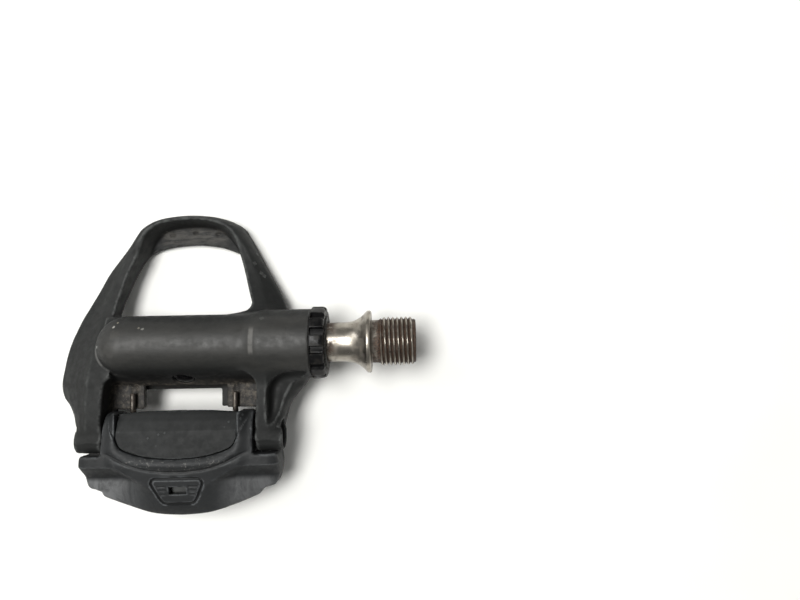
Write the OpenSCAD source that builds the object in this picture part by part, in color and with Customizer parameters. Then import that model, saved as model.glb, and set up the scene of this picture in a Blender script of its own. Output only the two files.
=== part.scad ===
// Road clipless pedal for the right crank, lying cleat side down.
// X runs along the spindle towards the crank, Y towards the shoe's toe, Z away from the shoe.
// The origin is on the spindle axis at the crank shoulder face.

/* [Spindle] */
// Outside diameter of the crank thread crests
thread_d = 14.24; // [14.10:0.01:14.28]
// Pitch of the crank thread
thread_pitch = 1.27; // [1.25:0.01:1.30]
// Diameter of the shoulder flange
flange_d = 18.2; // [17.6:0.1:18.6]
// Diameter of the spindle neck
neck_d = 11.4; // [11.3:0.05:11.42]
// Width across flats of the hexagon socket in the crank end
socket_af = 8; // [6:1:8]

/* [Body] */
// Distance from the shoulder face to the cleat centre line
centre_x = 56; // [55:0.5:57]
// Outside diameter of the spindle tube
tube_d = 17.4; // [17.3:0.1:17.8]
// Outside diameter of the tube mouth
mouth_d = 19.8; // [19.4:0.1:20.2]
// Height of the platform face below the spindle axis
platform_z = 8.2; // [8.1:0.1:8.4]
// Depth of the hook and claw lips below the spindle axis
lip_z = 14.5; // [14.3:0.1:14.7]

/* [Claw] */
// Distance of the claw pin behind the spindle axis
pin_y = 27.3; // [27.2:0.05:27.4]
// Distance of the claw pin below the spindle axis
pin_z = 1; // [0.9:0.05:1.1]
// Diameter of the claw pin
pin_d = 3.2; // [3.0:0.1:3.3]
// Lean of the tension bolt from the platform plane
bolt_lean = 40; // [38:1:42]

/* [Springs] */
// Wire diameter of the torsion springs
wire_d = 1.6; // [1.4:0.1:1.7]
// Number of coils in each torsion spring
coils = 5; // [4:1:5]

/* [Hidden] */
$fn = 48;

cx = -centre_x;
tube_r = tube_d / 2;
mouth_r = mouth_d / 2;
needle_n = 14;
needle_r = 0.8;
needle_path = 5.12;
ball_r = 1.19;
ball_path = 4.6;
ball_n = 11;
ball_x = [-61.3, -67.3];
race_r = 1.24;

resin = [0.17, 0.17, 0.18];
gloss_resin = [0.07, 0.07, 0.08];
steel = [0.70, 0.68, 0.65];
bright = [0.82, 0.82, 0.83];

// Smooth curve through hand-set points, n steps between each pair.
function cr(a, b, c, d, t) =
    0.5 * ((2 * b) + (c - a) * t + (2 * a - 5 * b + 4 * c - d) * t * t + (3 * b - a - 3 * c + d) * t * t * t);
function smooth_open(p, n) = [
    for (i = [0 : len(p) - 2], k = [0 : n - 1])
        cr(p[max(i - 1, 0)], p[i], p[i + 1], p[min(i + 2, len(p) - 1)], k / n),
    p[len(p) - 1]];
function flip_x(p) = [for (i = [len(p) - 1 : -1 : 0]) [-p[i][0], p[i][1]]];
// A half outline given from the centre line outward, closed by its mirror.
function both(p) = concat(p, flip_x(p));

// Turns a profile drawn in (Y, Z) into a bar along X from x0 to x1.
module along_x(x0, x1) {
    translate([x0, 0, 0]) rotate([90, 0, 90]) linear_extrude(x1 - x0) children();
}
// A cylinder along X.
module rod_x(r, x0, x1) {
    translate([x0, 0, 0]) rotate([0, 90, 0]) cylinder(r = r, h = x1 - x0);
}
// A turned part on the X axis; its profile is drawn as (radius, X).
module turned() {
    rotate([0, 90, 0]) rotate_extrude() children();
}
module at_pin() { translate([0, -pin_y, -pin_z]) children(); }
// Frame of the tension bolt: local +Z points out through the bolt head.
module at_bolt() { translate([0, -40.6, -3.2]) rotate([180 - (90 - bolt_lean), 0, 0]) children(); }

// ---- pedal body ----
// Stations from the toe centre round to the pivot:
// inner x, inner y, crease x, crease y, outer x, outer y, inner z, crease z, outer z, bottom z
shell_half = [
    [0, 36.4, 0, 38.0, 0, 39.8, -5.5, -5.0, -6.6, -12.5],
    [7.0, 35.8, 7.6, 37.4, 8.2, 39.2, -5.5, -5.0, -6.6, -12.5],
    [11.8, 33.0, 13.0, 34.6, 14.6, 36.6, -5.4, -5.2, -6.8, -12.4],
    [15.2, 28.0, 17.4, 29.2, 19.8, 29.8, -5.2, -5.8, -7.6, -12.6],
    [17.2, 22.0, 20.8, 22.0, 24.2, 22.0, -4.8, -6.0, -8.2, -12.2],
    [18.6, 16.6, 22.8, 16.8, 26.8, 17.0, -4.4, -5.8, -8.2, -11.0],
    [20.2, 11.5, 24.2, 11.5, 29.4, 11.5, -3.5, -4.8, -8.0, -9.2],
    [21.2, 8.0, 25.0, 7.6, 31.8, 7.4, -2.5, -3.2, -7.6, -8.4],
    [21.8, 0, 25.2, -1, 36.0, -1.0, 1.4, 1.6, -7.0, -8.2],
    [21.8, -8, 25.4, -8.5, 38.2, -8.6, 4.4, 4.9, -7.0, -8.2],
    [21.8, -15, 25.8, -15.5, 34.6, -15.0, 4.2, 4.8, -5.2, -8.2],
    [21.8, -21, 26.2, -21.5, 31.4, -21.0, 3.6, 4.0, -3.0, -7.6],
    [21.8, -pin_y, 26.4, -pin_y, 29.8, -pin_y, 2.6, 2.8, 0.8, -4.6]];
shell_smooth = smooth_open(shell_half, 3);
function ring6(s, m) = [
    [m * s[0], s[1], s[9]], [m * s[4], s[5], s[9]], [m * s[4], s[5], s[8]],
    [m * s[2], s[3], s[7]], [m * s[0], s[1], s[6]]];
shell_rings = concat(
    [for (i = [len(shell_smooth) - 1 : -1 : 1]) ring6(shell_smooth[i], -1)],
    [for (s = shell_smooth) ring6(s, 1)]);
// A closed tube through rings of k points each.
module skin(rings) {
    k = len(rings[0]);
    n = len(rings);
    polyhedron(
        points = [for (r = rings, p = r) p],
        faces = concat(
            [for (i = [1 : k - 2]) [0, i, i + 1]],
            [for (j = [0 : n - 2], i = [0 : k - 1])
                let (a = j * k + i, b = j * k + (i + 1) % k) [a, a + k, b]],
            [for (j = [0 : n - 2], i = [0 : k - 1])
                let (a = j * k + i, b = j * k + (i + 1) % k) [b, a + k, b + k]],
            [for (i = [1 : k - 2]) [(n - 1) * k, (n - 1) * k + i + 1, (n - 1) * k + i]]));
}

lip_outer = smooth_open([[0, 39.7], [8.2, 39.1], [14.5, 36.5], [17.6, 32.6], [19.4, 29.6]], 5);
lip_inner = smooth_open([[16.0, 26.0], [13.2, 28.4], [8.4, 30.4], [0, 31.4]], 5);

module body_solid() {
    skin(shell_rings);
    // toe lip that holds the nose of the cleat
    translate([0, 0, -lip_z]) linear_extrude(3)
        polygon(both(concat(lip_inner_from_centre(), lip_outer_from_side())));
    // spindle tube with its round end and wider mouth
    rod_x(tube_r, -15.4, 24);
    translate([-15.4, 0, 0]) rotate([0, 90, 0]) sphere(r = tube_r);
    translate([cx + centre_x, 0, 0]) turned() polygon([[0, 18], [tube_r - 0.1, 18], [mouth_r, 24.4], [mouth_r, centre_x - 17.2], [0, centre_x - 17.2]]);
    // platform web with its sloping rear wall
    along_x(-22.5, 22.5) polygon([[8.6, -platform_z], [8.6, -2], [0, 3], [-7.4, 3.4], [-12.2, -4.4], [-12.2, -platform_z]]);
    // blocks that the springs push on
    for (m = [-1, 1]) translate([m > 0 ? 12.2 : -22.5, -18.2, -platform_z]) cube([10.3, 8.0, platform_z - 3.5]);
    // flanges behind the tube mouth
    translate([21.9, -9.4, -platform_z]) cube([centre_x - 17.2 - 21.9, 10, 4.6]);
    // round ends that carry the pin
    at_pin() for (m = [-1, 1]) rod_x(3.85, m > 0 ? 21.9 : -29.8, m > 0 ? 29.8 : -21.9);
}
function lip_inner_from_centre() = [for (i = [len(lip_inner) - 1 : -1 : 0]) lip_inner[i]];
function lip_outer_from_side() = [for (i = [len(lip_outer) - 1 : -1 : 0]) lip_outer[i]];

module pedal_body() color(resin) translate([cx, 0, 0]) difference() {
    body_solid();
    // flat under the tube so that the steel plate lies flush
    translate([-60, -60, -30]) translate([0, 30.5, 0]) cube([120, 57, 30 - platform_z]);
    // bore for the lock ring thread and for the bearing cartridge
    translate([centre_x, 0, 0]) {
        rod_x(8.0, -27.0, -17.1);
        rod_x(7.0, -71.6, -26.0);
        rod_x(5.2, -76.0, -70.0);
    }
    // pin bore with a counterbore at each outer end
    at_pin() {
        rod_x(pin_d / 2 + 0.03, -40, 40);
        rod_x(2.5, 28.2, 40);
        rod_x(2.5, -40, -28.2);
    }
    // seat of the round label
    label_place() translate([0, 0, -0.5]) cylinder(r = 3.1, h = 4);
    // countersunk screw holes for the steel plate
    for (m = [-1, 1]) translate([m * 17.5, -10.2, -platform_z - 0.1]) {
        cylinder(r1 = 1.5, r2 = 1.0, h = 0.5);
        cylinder(r = 0.95, h = 4.2);
    }
}
module label_place() {
    translate([0.6, -9.8, -0.5]) rotate([58.4, 0, 0]) children();
}

module round_label() color(gloss_resin) translate([cx, 0, 0]) label_place()
    translate([0, 0, -0.48]) {
        cylinder(r = 3.0, h = 0.4);
        cylinder(r = 2.4, h = 0.55);
    }

// Steel rubbing plate on the cleat side of the body.
module body_plate() color(bright) translate([cx, 0, -platform_z - 0.65]) difference() {
    linear_extrude(0.6) polygon(both(concat(
        [[0, -11.8], [12.5, -11.8], [13.4, -13.0], [20.0, -13.0]],
        smooth_open([[21.5, -11.0], [23.0, -6.0], [23.4, 0], [22.6, 5.0]], 4),
        [[20.0, 8.0], [0, 8.4]])));
    for (m = [-1, 1]) translate([m * 17.5, -10.2, -0.1]) cylinder(r1 = 2.1, r2 = 1.3, h = 0.8);
}

module plate_screws() color(steel) translate([cx, 0, 0]) for (m = [-1, 1])
    translate([m * 17.5, -10.2, -platform_z - 0.65]) difference() {
        union() {
            cylinder(r1 = 1.9, r2 = 0.95, h = 0.95);
            cylinder(r = 0.92, h = 4.1);
        }
        translate([0, 0, -0.5]) cylinder(r = 0.85, h = 1.1, $fn = 6);
    }

// ---- lock ring and seal ----
module lock_ring() color(gloss_resin) difference() {
    turned() polygon([[6.5, -26.4], [7.92, -26.4], [7.92, -17.15], [10.5, -17.15], [10.5, -13.0], [10.0, -12.4],
        [7.65, -12.4], [7.65, -14.7], [6.0, -14.7], [6.0, -16.0], [6.5, -16.6]]);
    for (k = [0 : 15]) rotate([k * 22.5, 0, 0]) translate([-18, -1.0, 9.5]) cube([6, 2.0, 2]);
}

module dust_seal() color([0.10, 0.10, 0.10]) turned() polygon([[5.76, -14.0], [6.3, -14.6], [7.6, -14.6], [7.6, -12.7], [6.3, -12.6], [5.76, -12.9]]);

// ---- bearing cartridge ----
module bearing_sleeve() color([0.55, 0.56, 0.58]) turned() difference() {
    translate([6.45, -71.4]) square([0.5, 44.6]);
    translate([6.85, -50]) square([0.3, 12]);
}

module crank_bushing() color([0.32, 0.30, 0.27]) turned() polygon([[5.75, -36.5], [6.42, -36.5], [6.42, -28.0], [6.42, -27.3], [5.75, -27.3]]);

module needle_shell() color(steel) turned() polygon([[5.0, -52.0], [6.42, -52.0], [6.42, -40.0], [5.0, -40.0], [5.0, -40.5], [5.97, -40.5], [5.97, -51.5], [5.0, -51.5]]);

module needle_rollers() color(bright) for (k = [0 : needle_n - 1]) rotate([k * 360 / needle_n, 0, 0])
    translate([0, 0, needle_path]) rod_x(needle_r, -51.0, -41.0);

module ball_row(x) color(bright) for (k = [0 : ball_n - 1]) rotate([k * 360 / ball_n, 0, 0])
    translate([x, 0, ball_path]) sphere(r = ball_r);
module inner_balls() ball_row(ball_x[0]);
module outer_balls() ball_row(ball_x[1]);

module bearing_cup() color(steel) turned() difference() {
    translate([4.0, -66.7]) square([2.42, 4.8]);
    for (x = ball_x) translate([ball_path, x]) circle(r = race_r);
}

// ---- spindle unit ----
// Crank thread, drawn as a row of crests.
crests = [for (k = [0 : 7]) 3.0 + k * thread_pitch];
module spindle() color(steel) difference() {
    turned() difference() {
        polygon(concat(
            [[0, -74.6], [3.0, -74.6], [3.3, -74.3], [3.3, -60.3], [4.25, -60.3], [4.25, -38.0], [neck_d / 2, -37.4], [neck_d / 2, -11.0]],
            smooth_open([[neck_d / 2 + 0.1, -8.2], [neck_d / 2 + 0.45, -5.4], [7.3, -3.2], [8.8, -1.7]], 4),
            [[flange_d / 2, -1.4], [flange_d / 2, -0.3], [flange_d / 2 - 0.3, 0], [6.25, 0], [6.25, 2.4]],
            [for (x = crests, p = [[6.38, -0.52], [thread_d / 2, -0.1], [thread_d / 2, 0.1], [6.38, 0.52]]) [p[0], x + p[1]]],
            [[6.3, 13.0], [0, 13.0]]));
        translate([ball_path, ball_x[0]]) circle(r = race_r);
    }
    // hexagon socket and its drill point
    translate([4.6, 0, 0]) rotate([0, 90, 0]) cylinder(r = socket_af / 2 / cos(30), h = 9, $fn = 6);
    rod_x(3.4, 3.0, 6);
    turned() polygon([[0, 12.4], [4.75, 12.4], [5.3, 13.4], [0, 13.4]]);
}

module bearing_cone() color(steel) turned() difference() {
    polygon([[3.33, -71.0], [4.6, -71.0], [4.9, -70.6], [4.9, -68.2], [4.4, -67.7], [3.33, -67.7]]);
    translate([ball_path, ball_x[1]]) circle(r = race_r);
}

module lock_washer() color(bright) turned() translate([3.4, -71.6]) square([1.2, 0.5]);

module lock_nut() color(steel) difference() {
    rotate([0, -90, 0]) translate([0, 0, 71.7]) cylinder(r = 4.6, h = 2.4, $fn = 6);
    rod_x(3.33, -76, -70);
}

// ---- claw ----
module pivot_pin() color(bright) translate([cx, 0, 0]) at_pin() turned() polygon([[0, -27.9], [pin_d / 2 - 0.3, -27.9], [pin_d / 2, -27.6], [pin_d / 2, 27.6], [pin_d / 2 - 0.3, 27.9], [0, 27.9]]);

// Torsion spring: one leg under the tension plate, the coils round the pin, one leg on the body block.
coil_r = 3.45;
coil_x0 = 5.4;
coil_x1 = 15.2;
seg = 14;
coil_path = concat(
    [[coil_x0, -11.4, -1.9], [coil_x0, -6.0, -2.9]],
    [for (i = [0 : coils * seg]) [coil_x0 + (coil_x1 - coil_x0) * i / (coils * seg), coil_r * sin(360 * i / seg), -coil_r * cos(360 * i / seg)]],
    [[coil_x1, 5.8, -2.5], [coil_x1, 8.6, -1.55], [coil_x1, 13.0, -1.5]]);
function unit(v) = v / norm(v);
function tangent(p, i) = unit(p[min(i + 1, len(p) - 1)] - p[max(i - 1, 0)]);
// Rings of the wire: one ring axis stays near X so that the tube never twists.
function wire_ring(p, i, r, n) =
    let (t = tangent(p, i), a = unit([1, 0, 0] - t * t[0]), b = cross(t, a))
    [for (k = [0 : n - 1]) p[i] + r * (a * cos(360 * k / n) + b * sin(360 * k / n))];
module torsion_spring() at_pin() skin([for (i = [0 : len(coil_path) - 1]) wire_ring(coil_path, i, wire_d / 2, 8)]);
module right_spring() color(steel) translate([cx, 0, 0]) torsion_spring();
module left_spring() color(steel) translate([cx, 0, 0]) mirror([1, 0, 0]) torsion_spring();

claw_rear = smooth_open([[28.6, -37.4], [26.9, -40.1], [23.6, -41.6], [19.6, -44.4], [14.4, -46.6], [7.6, -48.7], [0, -49.4]], 4);
claw_top = smooth_open([[-19.7, -1.2], [-20.4, 1.6], [-22.6, 3.6], [-26.0, 4.8], [-31.0, 5.0], [-36.0, 4.9], [-40.4, 3.4], [-44.4, 2.0], [-47.6, -0.2], [-49.4, -2.6]], 3);
module claw_plan() {
    polygon(both(concat([[0, -31.0], [17.5, -31.0], [28.0, -31.0], [28.9, -33.4]], claw_rear)));
    for (m = [-1, 1]) translate([m > 0 ? 17.4 : -21.5, -32]) square([4.1, 13]);
}
module rear_claw() color(resin) translate([cx, 0, 0]) difference() {
    union() {
        intersection() {
            translate([0, 0, -20]) linear_extrude(30) claw_plan();
            along_x(-35, 35) polygon(concat(claw_top, [[-49.7, -5.0], [-49.6, -7.4], [-25.0, -7.4], [-22.2, -5.8], [-20.4, -3.8]]));
        }
        // rear wall and lip that hold the tail of the cleat
        intersection() {
            translate([0, 0, -20]) linear_extrude(30) intersection() {
                claw_plan();
                translate([-17, -52]) square([34, 22]);
            }
            along_x(-18, 18) polygon([[-44.0, -6], [-44.0, -11.4], [-38.2, -11.6], [-37.8, -13.6], [-38.6, -lip_z], [-46.4, -lip_z], [-48.2, -12.0], [-49.6, -7.0], [-49.6, -6]]);
        }
    }
    at_pin() {
        // room for the coils, the pin bore, and the round arm ends
        rod_x(4.75, -16.4, 16.4);
        rod_x(pin_d / 2 + 0.05, -40, 40);
        rod_x(4.2, 21.5, 40);
        rod_x(4.2, -40, -21.5);
    }
    // seat of the spring cover and the mouth under it
    translate([0, 0, -1]) linear_extrude(12) polygon(cover_seat);
    translate([-16.4, -28, -9]) cube([32.8, 9.2, 14]);
    // chamber for the tension plate
    along_x(-9.4, 9.4) polygon([[-27, -5.9], [-27, 3.4], [-34.5, 3.2], [-38.5, 2.5], [-42.6, 1.0], [-44.6, -1.4], [-43.0, -5.9]]);
    // bolt bore and head seat
    at_bolt() {
        translate([0, 0, -6]) cylinder(r = 1.6, h = 20);
        translate([0, 0, 5.6]) cylinder(r = 2.75, h = 20);
    }
    // indicator window
    translate([-2.5, -42.7, 0]) cube([5, 2.4, 8]);
}

cover_half = concat(
    smooth_open([[0, -18.9], [9.4, -19.2], [17.1, -20.2]], 4),
    smooth_open([[17.1, -26.4], [15.4, -29.0], [10.8, -30.8], [5.6, -31.7], [0, -32.0]], 3));
cover_seat = both(concat(
    smooth_open([[0, -18.4], [9.4, -18.7], [17.35, -19.0]], 4),
    smooth_open([[17.35, -26.6], [15.6, -29.3], [10.9, -31.1], [5.7, -32.0], [0, -32.3]], 3)));
module spring_cover() color(gloss_resin) translate([cx, 0, 0]) intersection() {
    translate([0, 0, -5]) linear_extrude(20) polygon(both(cover_half));
    along_x(-20, 20) polygon(concat(
        smooth_open([[-18.8, 1.2], [-19.6, 2.5], [-22.6, 3.7], [-26.0, 4.9], [-31.0, 5.1], [-32.2, 5.1]], 3),
        smooth_open([[-32.2, 3.8], [-27.3, 4.0], [-24.0, 3.5], [-21.0, 2.2], [-18.8, 0.6]], 3)));
}

// Plate that carries the spring legs and travels on the bolt.
module spring_plate() color(steel) translate([cx, 0, 0]) at_bolt() difference() {
    union() {
        translate([-8.6, -1.2, 0.2]) cube([17.2, 2.8, 1.2]);
        translate([0, 0, -1.2]) cylinder(r = 2.0, h = 1.6);
    }
    translate([0, 0, -5]) cylinder(r = 1.54, h = 10);
}

module tension_indicator() color([0.75, 0.75, 0.72]) translate([cx, 0, 0]) at_bolt()
    along_x(-2.25, 2.25) polygon([[2.05, -3.0], [3.2, -3.4], [3.9, -1.2], [3.9, 0.5], [3.5, 0.75], [1.6, 0.75], [1.6, 0.42], [2.05, 0.42]]);

module tension_bolt() color(steel) translate([cx, 0, 0]) at_bolt() difference() {
    union() {
        translate([0, 0, -3.2]) cylinder(r = 1.48, h = 9.2);
        translate([0, 0, 5.65]) cylinder(r = 2.65, h = 2.2);
    }
    translate([0, 0, 6.6]) cylinder(r = 1.44, h = 3, $fn = 6);
}

pedal_body();
body_plate();
plate_screws();
round_label();
lock_ring();
dust_seal();
bearing_sleeve();
crank_bushing();
needle_shell();
needle_rollers();
bearing_cup();
inner_balls();
outer_balls();
spindle();
bearing_cone();
lock_washer();
lock_nut();
pivot_pin();
left_spring();
right_spring();
rear_claw();
spring_cover();
spring_plate();
tension_indicator();
tension_bolt();
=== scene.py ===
import bpy
import math
import numpy as np
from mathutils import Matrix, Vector


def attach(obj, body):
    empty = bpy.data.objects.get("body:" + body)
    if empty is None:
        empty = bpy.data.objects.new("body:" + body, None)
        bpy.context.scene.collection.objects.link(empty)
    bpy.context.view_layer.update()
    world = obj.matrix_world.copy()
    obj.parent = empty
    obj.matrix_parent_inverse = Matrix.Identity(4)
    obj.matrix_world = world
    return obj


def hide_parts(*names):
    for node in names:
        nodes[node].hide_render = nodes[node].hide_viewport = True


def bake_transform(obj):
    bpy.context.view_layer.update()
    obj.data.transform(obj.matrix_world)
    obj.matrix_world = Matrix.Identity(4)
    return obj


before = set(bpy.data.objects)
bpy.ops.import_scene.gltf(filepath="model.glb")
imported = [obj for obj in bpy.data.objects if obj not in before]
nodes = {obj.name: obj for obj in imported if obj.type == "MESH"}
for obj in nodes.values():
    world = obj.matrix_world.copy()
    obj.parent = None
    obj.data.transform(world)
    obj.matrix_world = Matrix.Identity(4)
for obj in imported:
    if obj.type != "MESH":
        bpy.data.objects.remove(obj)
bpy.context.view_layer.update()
MM = 0.001
CX = -56.0          # cleat centre line, mm

# ------------------------------------------------------------------ curves and plan fields


def spline(pts, n, closed=False):
    """Smooth curve through given points, n steps between each pair."""
    p = np.array(pts, float)
    m = len(p)
    out = []
    for i in range(m if closed else m - 1):
        if closed:
            a, b, c, d = p[(i - 1) % m], p[i], p[(i + 1) % m], p[(i + 2) % m]
        else:
            a, b, c, d = p[max(i - 1, 0)], p[i], p[i + 1], p[min(i + 2, m - 1)]
        for k in range(n):
            t = k / n
            out.append(0.5 * (2 * b + (c - a) * t + (2 * a - 5 * b + 4 * c - d) * t * t + (3 * b - a - 3 * c + d) * t ** 3))
    if not closed:
        out.append(p[-1])
    return np.array(out)


def mirrored(half):
    """A half outline from the centre line outward, closed by its mirror."""
    half = [tuple(q) for q in half]
    return half + [(-x, y) for x, y in reversed(half)]


def poly_sdf(PX, PY, pts):
    pts = np.array(pts, float)
    d2 = np.full(PX.shape, 1e9)
    inside = np.zeros(PX.shape, bool)
    for a, b in zip(pts, np.roll(pts, -1, axis=0)):
        e = b - a
        L = e @ e
        if L < 1e-12:
            continue
        wx, wy = PX - a[0], PY - a[1]
        t = np.clip((wx * e[0] + wy * e[1]) / L, 0, 1)
        d2 = np.minimum(d2, (wx - t * e[0]) ** 2 + (wy - t * e[1]) ** 2)
        c = (a[1] > PY) != (b[1] > PY)
        with np.errstate(divide="ignore", invalid="ignore"):
            xs = a[0] + (PY - a[1]) * e[0] / (e[1] if abs(e[1]) > 1e-12 else 1e-12)
        inside ^= c & (PX < xs)
    d = np.sqrt(d2)
    return np.where(inside, -d, d).astype(np.float32)


def curve_dist(PX, PY, pts):
    """Distance to an open line, and the sign of the side (positive towards +Y)."""
    pts = np.array(pts, float)
    d2 = np.full(PX.shape, 1e9)
    sg = np.ones(PX.shape)
    for a, b in zip(pts[:-1], pts[1:]):
        e = b - a
        L = e @ e
        wx, wy = PX - a[0], PY - a[1]
        t = np.clip((wx * e[0] + wy * e[1]) / L, 0, 1)
        q = (wx - t * e[0]) ** 2 + (wy - t * e[1]) ** 2
        m = q < d2
        d2 = np.where(m, q, d2)
        sg = np.where(m, np.sign(e[0] * wy - e[1] * wx), sg)
    return np.sqrt(d2).astype(np.float32), sg.astype(np.float32)


def smin(a, b, k):
    h = np.maximum(k - np.abs(a - b), 0) / k
    return np.minimum(a, b) - h * h * (k * 0.25)


def smax(a, b, k):
    h = np.maximum(k - np.abs(a - b), 0) / k
    return np.maximum(a, b) + h * h * (k * 0.25)


def sstep(a, b, x):
    t = np.clip((x - a) / (b - a), 0, 1)
    return t * t * (3 - 2 * t)


def raster_heights(PX, PY, rows, sub):
    """Height over the plan of a sheet lofted through rows of (x, y, z) points."""
    rows = np.array(rows, float)
    dense = spline(rows.reshape(len(rows), -1), sub).reshape(-1, rows.shape[1], 3)
    out = np.full(PX.shape, np.nan)
    gx, gy = PX[:, 0], PY[0, :]
    for r0, r1 in zip(dense[:-1], dense[1:]):
        for k in range(dense.shape[1] - 1):
            for tri in ((r0[k], r0[k + 1], r1[k + 1]), (r0[k], r1[k + 1], r1[k])):
                t = np.array(tri)
                i0, i1 = np.searchsorted(gx, [t[:, 0].min(), t[:, 0].max()])
                j0, j1 = np.searchsorted(gy, [t[:, 1].min(), t[:, 1].max()])
                if i1 <= i0 or j1 <= j0:
                    continue
                X, Y = PX[i0:i1, j0:j1], PY[i0:i1, j0:j1]
                (x1, y1, z1), (x2, y2, z2), (x3, y3, z3) = t
                det = (y2 - y3) * (x1 - x3) + (x3 - x2) * (y1 - y3)
                if abs(det) < 1e-9:
                    continue
                a = ((y2 - y3) * (X - x3) + (x3 - x2) * (Y - y3)) / det
                b = ((y3 - y1) * (X - x3) + (x1 - x3) * (Y - y3)) / det
                c = 1 - a - b
                m = (a >= -1e-6) & (b >= -1e-6) & (c >= -1e-6)
                z = a * z1 + b * z2 + c * z3
                cur = out[i0:i1, j0:j1]
                cur[m] = z[m]
    return out


def fill(a, passes):
    a = a.copy()
    for _ in range(passes):
        bad = np.isnan(a)
        if not bad.any():
            break
        p = np.pad(a, 1, constant_values=np.nan)
        nb = np.stack([p[:-2, 1:-1], p[2:, 1:-1], p[1:-1, :-2], p[1:-1, 2:]])
        ok = ~np.isnan(nb)
        n = ok.sum(0)
        m = bad & (n > 0)
        s = np.where(ok, nb, 0).sum(0)
        a[m] = s[m] / n[m]
    return np.nan_to_num(a, nan=-20.0)


def blur(a, n):
    for _ in range(n):
        p = np.pad(a, 1, mode="edge")
        a = (p[:-2, 1:-1] + 2 * p[1:-1, 1:-1] + p[2:, 1:-1]) / 4
        p = np.pad(a, 1, mode="edge")
        a = (p[1:-1, :-2] + 2 * p[1:-1, 1:-1] + p[1:-1, 2:]) / 4
    return a


def over_height(Z, top, h):
    """Distance-like field of what lies under a height map."""
    gx, gy = np.gradient(top, h)
    s = np.sqrt(1 + np.minimum(gx * gx + gy * gy, 6.0))
    return ((Z - top[:, :, None]) / s[:, :, None]).astype(np.float32)


def under_height(Z, bot, h):
    gx, gy = np.gradient(bot, h)
    s = np.sqrt(1 + np.minimum(gx * gx + gy * gy, 6.0))
    return ((bot[:, :, None] - Z) / s[:, :, None]).astype(np.float32)


# ------------------------------------------------------------------ surface extraction

def axes(lo, hi, h):
    return [np.arange(lo[k], hi[k] + h / 2, h).astype(np.float32) for k in range(3)]


def extract(F, ax, h):
    """Vertices (mm) and quads of the zero surface, with vertices pulled onto creases."""
    F = F.astype(np.float32)
    F = np.where(np.abs(F) < 1e-5, np.float32(1e-5), F)
    S = F < 0
    nx, ny, nz = F.shape
    cnt = np.zeros((nx - 1, ny - 1, nz - 1), np.int8)
    offs = [(i, j, k) for i in (0, 1) for j in (0, 1) for k in (0, 1)]
    for i, j, k in offs:
        cnt += S[i:nx - 1 + i, j:ny - 1 + j, k:nz - 1 + k]
    act = (cnt > 0) & (cnt < 8)
    ci = np.argwhere(act)
    idx = np.full(act.shape, -1, np.int64)
    idx[act] = np.arange(len(ci))
    G = np.gradient(F)
    n = len(ci)
    ATA = np.zeros((n, 3, 3))
    ATb = np.zeros((n, 3))
    mass = np.zeros((n, 3))
    num = np.zeros(n)
    ed = []
    for a in offs:
        for axis in range(3):
            if a[axis] == 0:
                b = list(a)
                b[axis] = 1
                ed.append((a, tuple(b)))
    rec = []
    for a, b in ed:
        A = ci + np.array(a)
        B = ci + np.array(b)
        fa, fb = F[A[:, 0], A[:, 1], A[:, 2]], F[B[:, 0], B[:, 1], B[:, 2]]
        m = (fa < 0) != (fb < 0)
        t = np.where(m, fa / np.where(m, fa - fb, 1), 0.5)
        p = np.array(a, float)[None, :] + t[:, None] * (np.array(b, float) - np.array(a, float))[None, :]
        g = np.stack([(1 - t) * q[A[:, 0], A[:, 1], A[:, 2]] + t * q[B[:, 0], B[:, 1], B[:, 2]] for q in G], 1)
        g /= np.maximum(np.linalg.norm(g, axis=1, keepdims=True), 1e-9)
        rec.append((m, p, g))
        mass += np.where(m[:, None], p, 0)
        num += m
    mass /= num[:, None]
    for m, p, g in rec:
        w = m.astype(float)
        d = ((p - mass) * g).sum(1)
        ATA += w[:, None, None] * g[:, :, None] * g[:, None, :]
        ATb += w[:, None] * g * d[:, None]
    ATA += 0.12 * np.eye(3)[None]
    x = np.linalg.solve(ATA, ATb[:, :, None])[:, :, 0]
    x = np.clip(x, -0.55, 0.55)
    v = np.clip(mass + x, 0.02, 0.98) + ci
    co = np.stack([ax[k][0] + v[:, k] * h for k in range(3)], 1)
    quads = []
    for axis in range(3):
        o1, o2 = [(1, 2), (2, 0), (0, 1)][axis]
        sl0 = [slice(None)] * 3
        sl1 = [slice(None)] * 3
        sl0[axis] = slice(0, -1)
        sl1[axis] = slice(1, None)
        s0, s1 = S[tuple(sl0)], S[tuple(sl1)]
        e = np.argwhere(s0 != s1)
        lim = [nx - 1, ny - 1, nz - 1]
        ok = (e[:, o1] >= 1) & (e[:, o2] >= 1) & (e[:, o1] < lim[o1]) & (e[:, o2] < lim[o2])
        e = e[ok]
        sign = s0[e[:, 0], e[:, 1], e[:, 2]]
        cells = []
        for d1, d2 in ((-1, -1), (0, -1), (0, 0), (-1, 0)):
            c = e.copy()
            c[:, o1] += d1
            c[:, o2] += d2
            cells.append(idx[c[:, 0], c[:, 1], c[:, 2]])
        q = np.stack(cells, 1)
        q[~sign] = q[~sign][:, ::-1]
        quads.append(q)
    quads = np.concatenate(quads)
    quads = quads[(quads >= 0).all(1)]
    return co, quads


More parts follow.
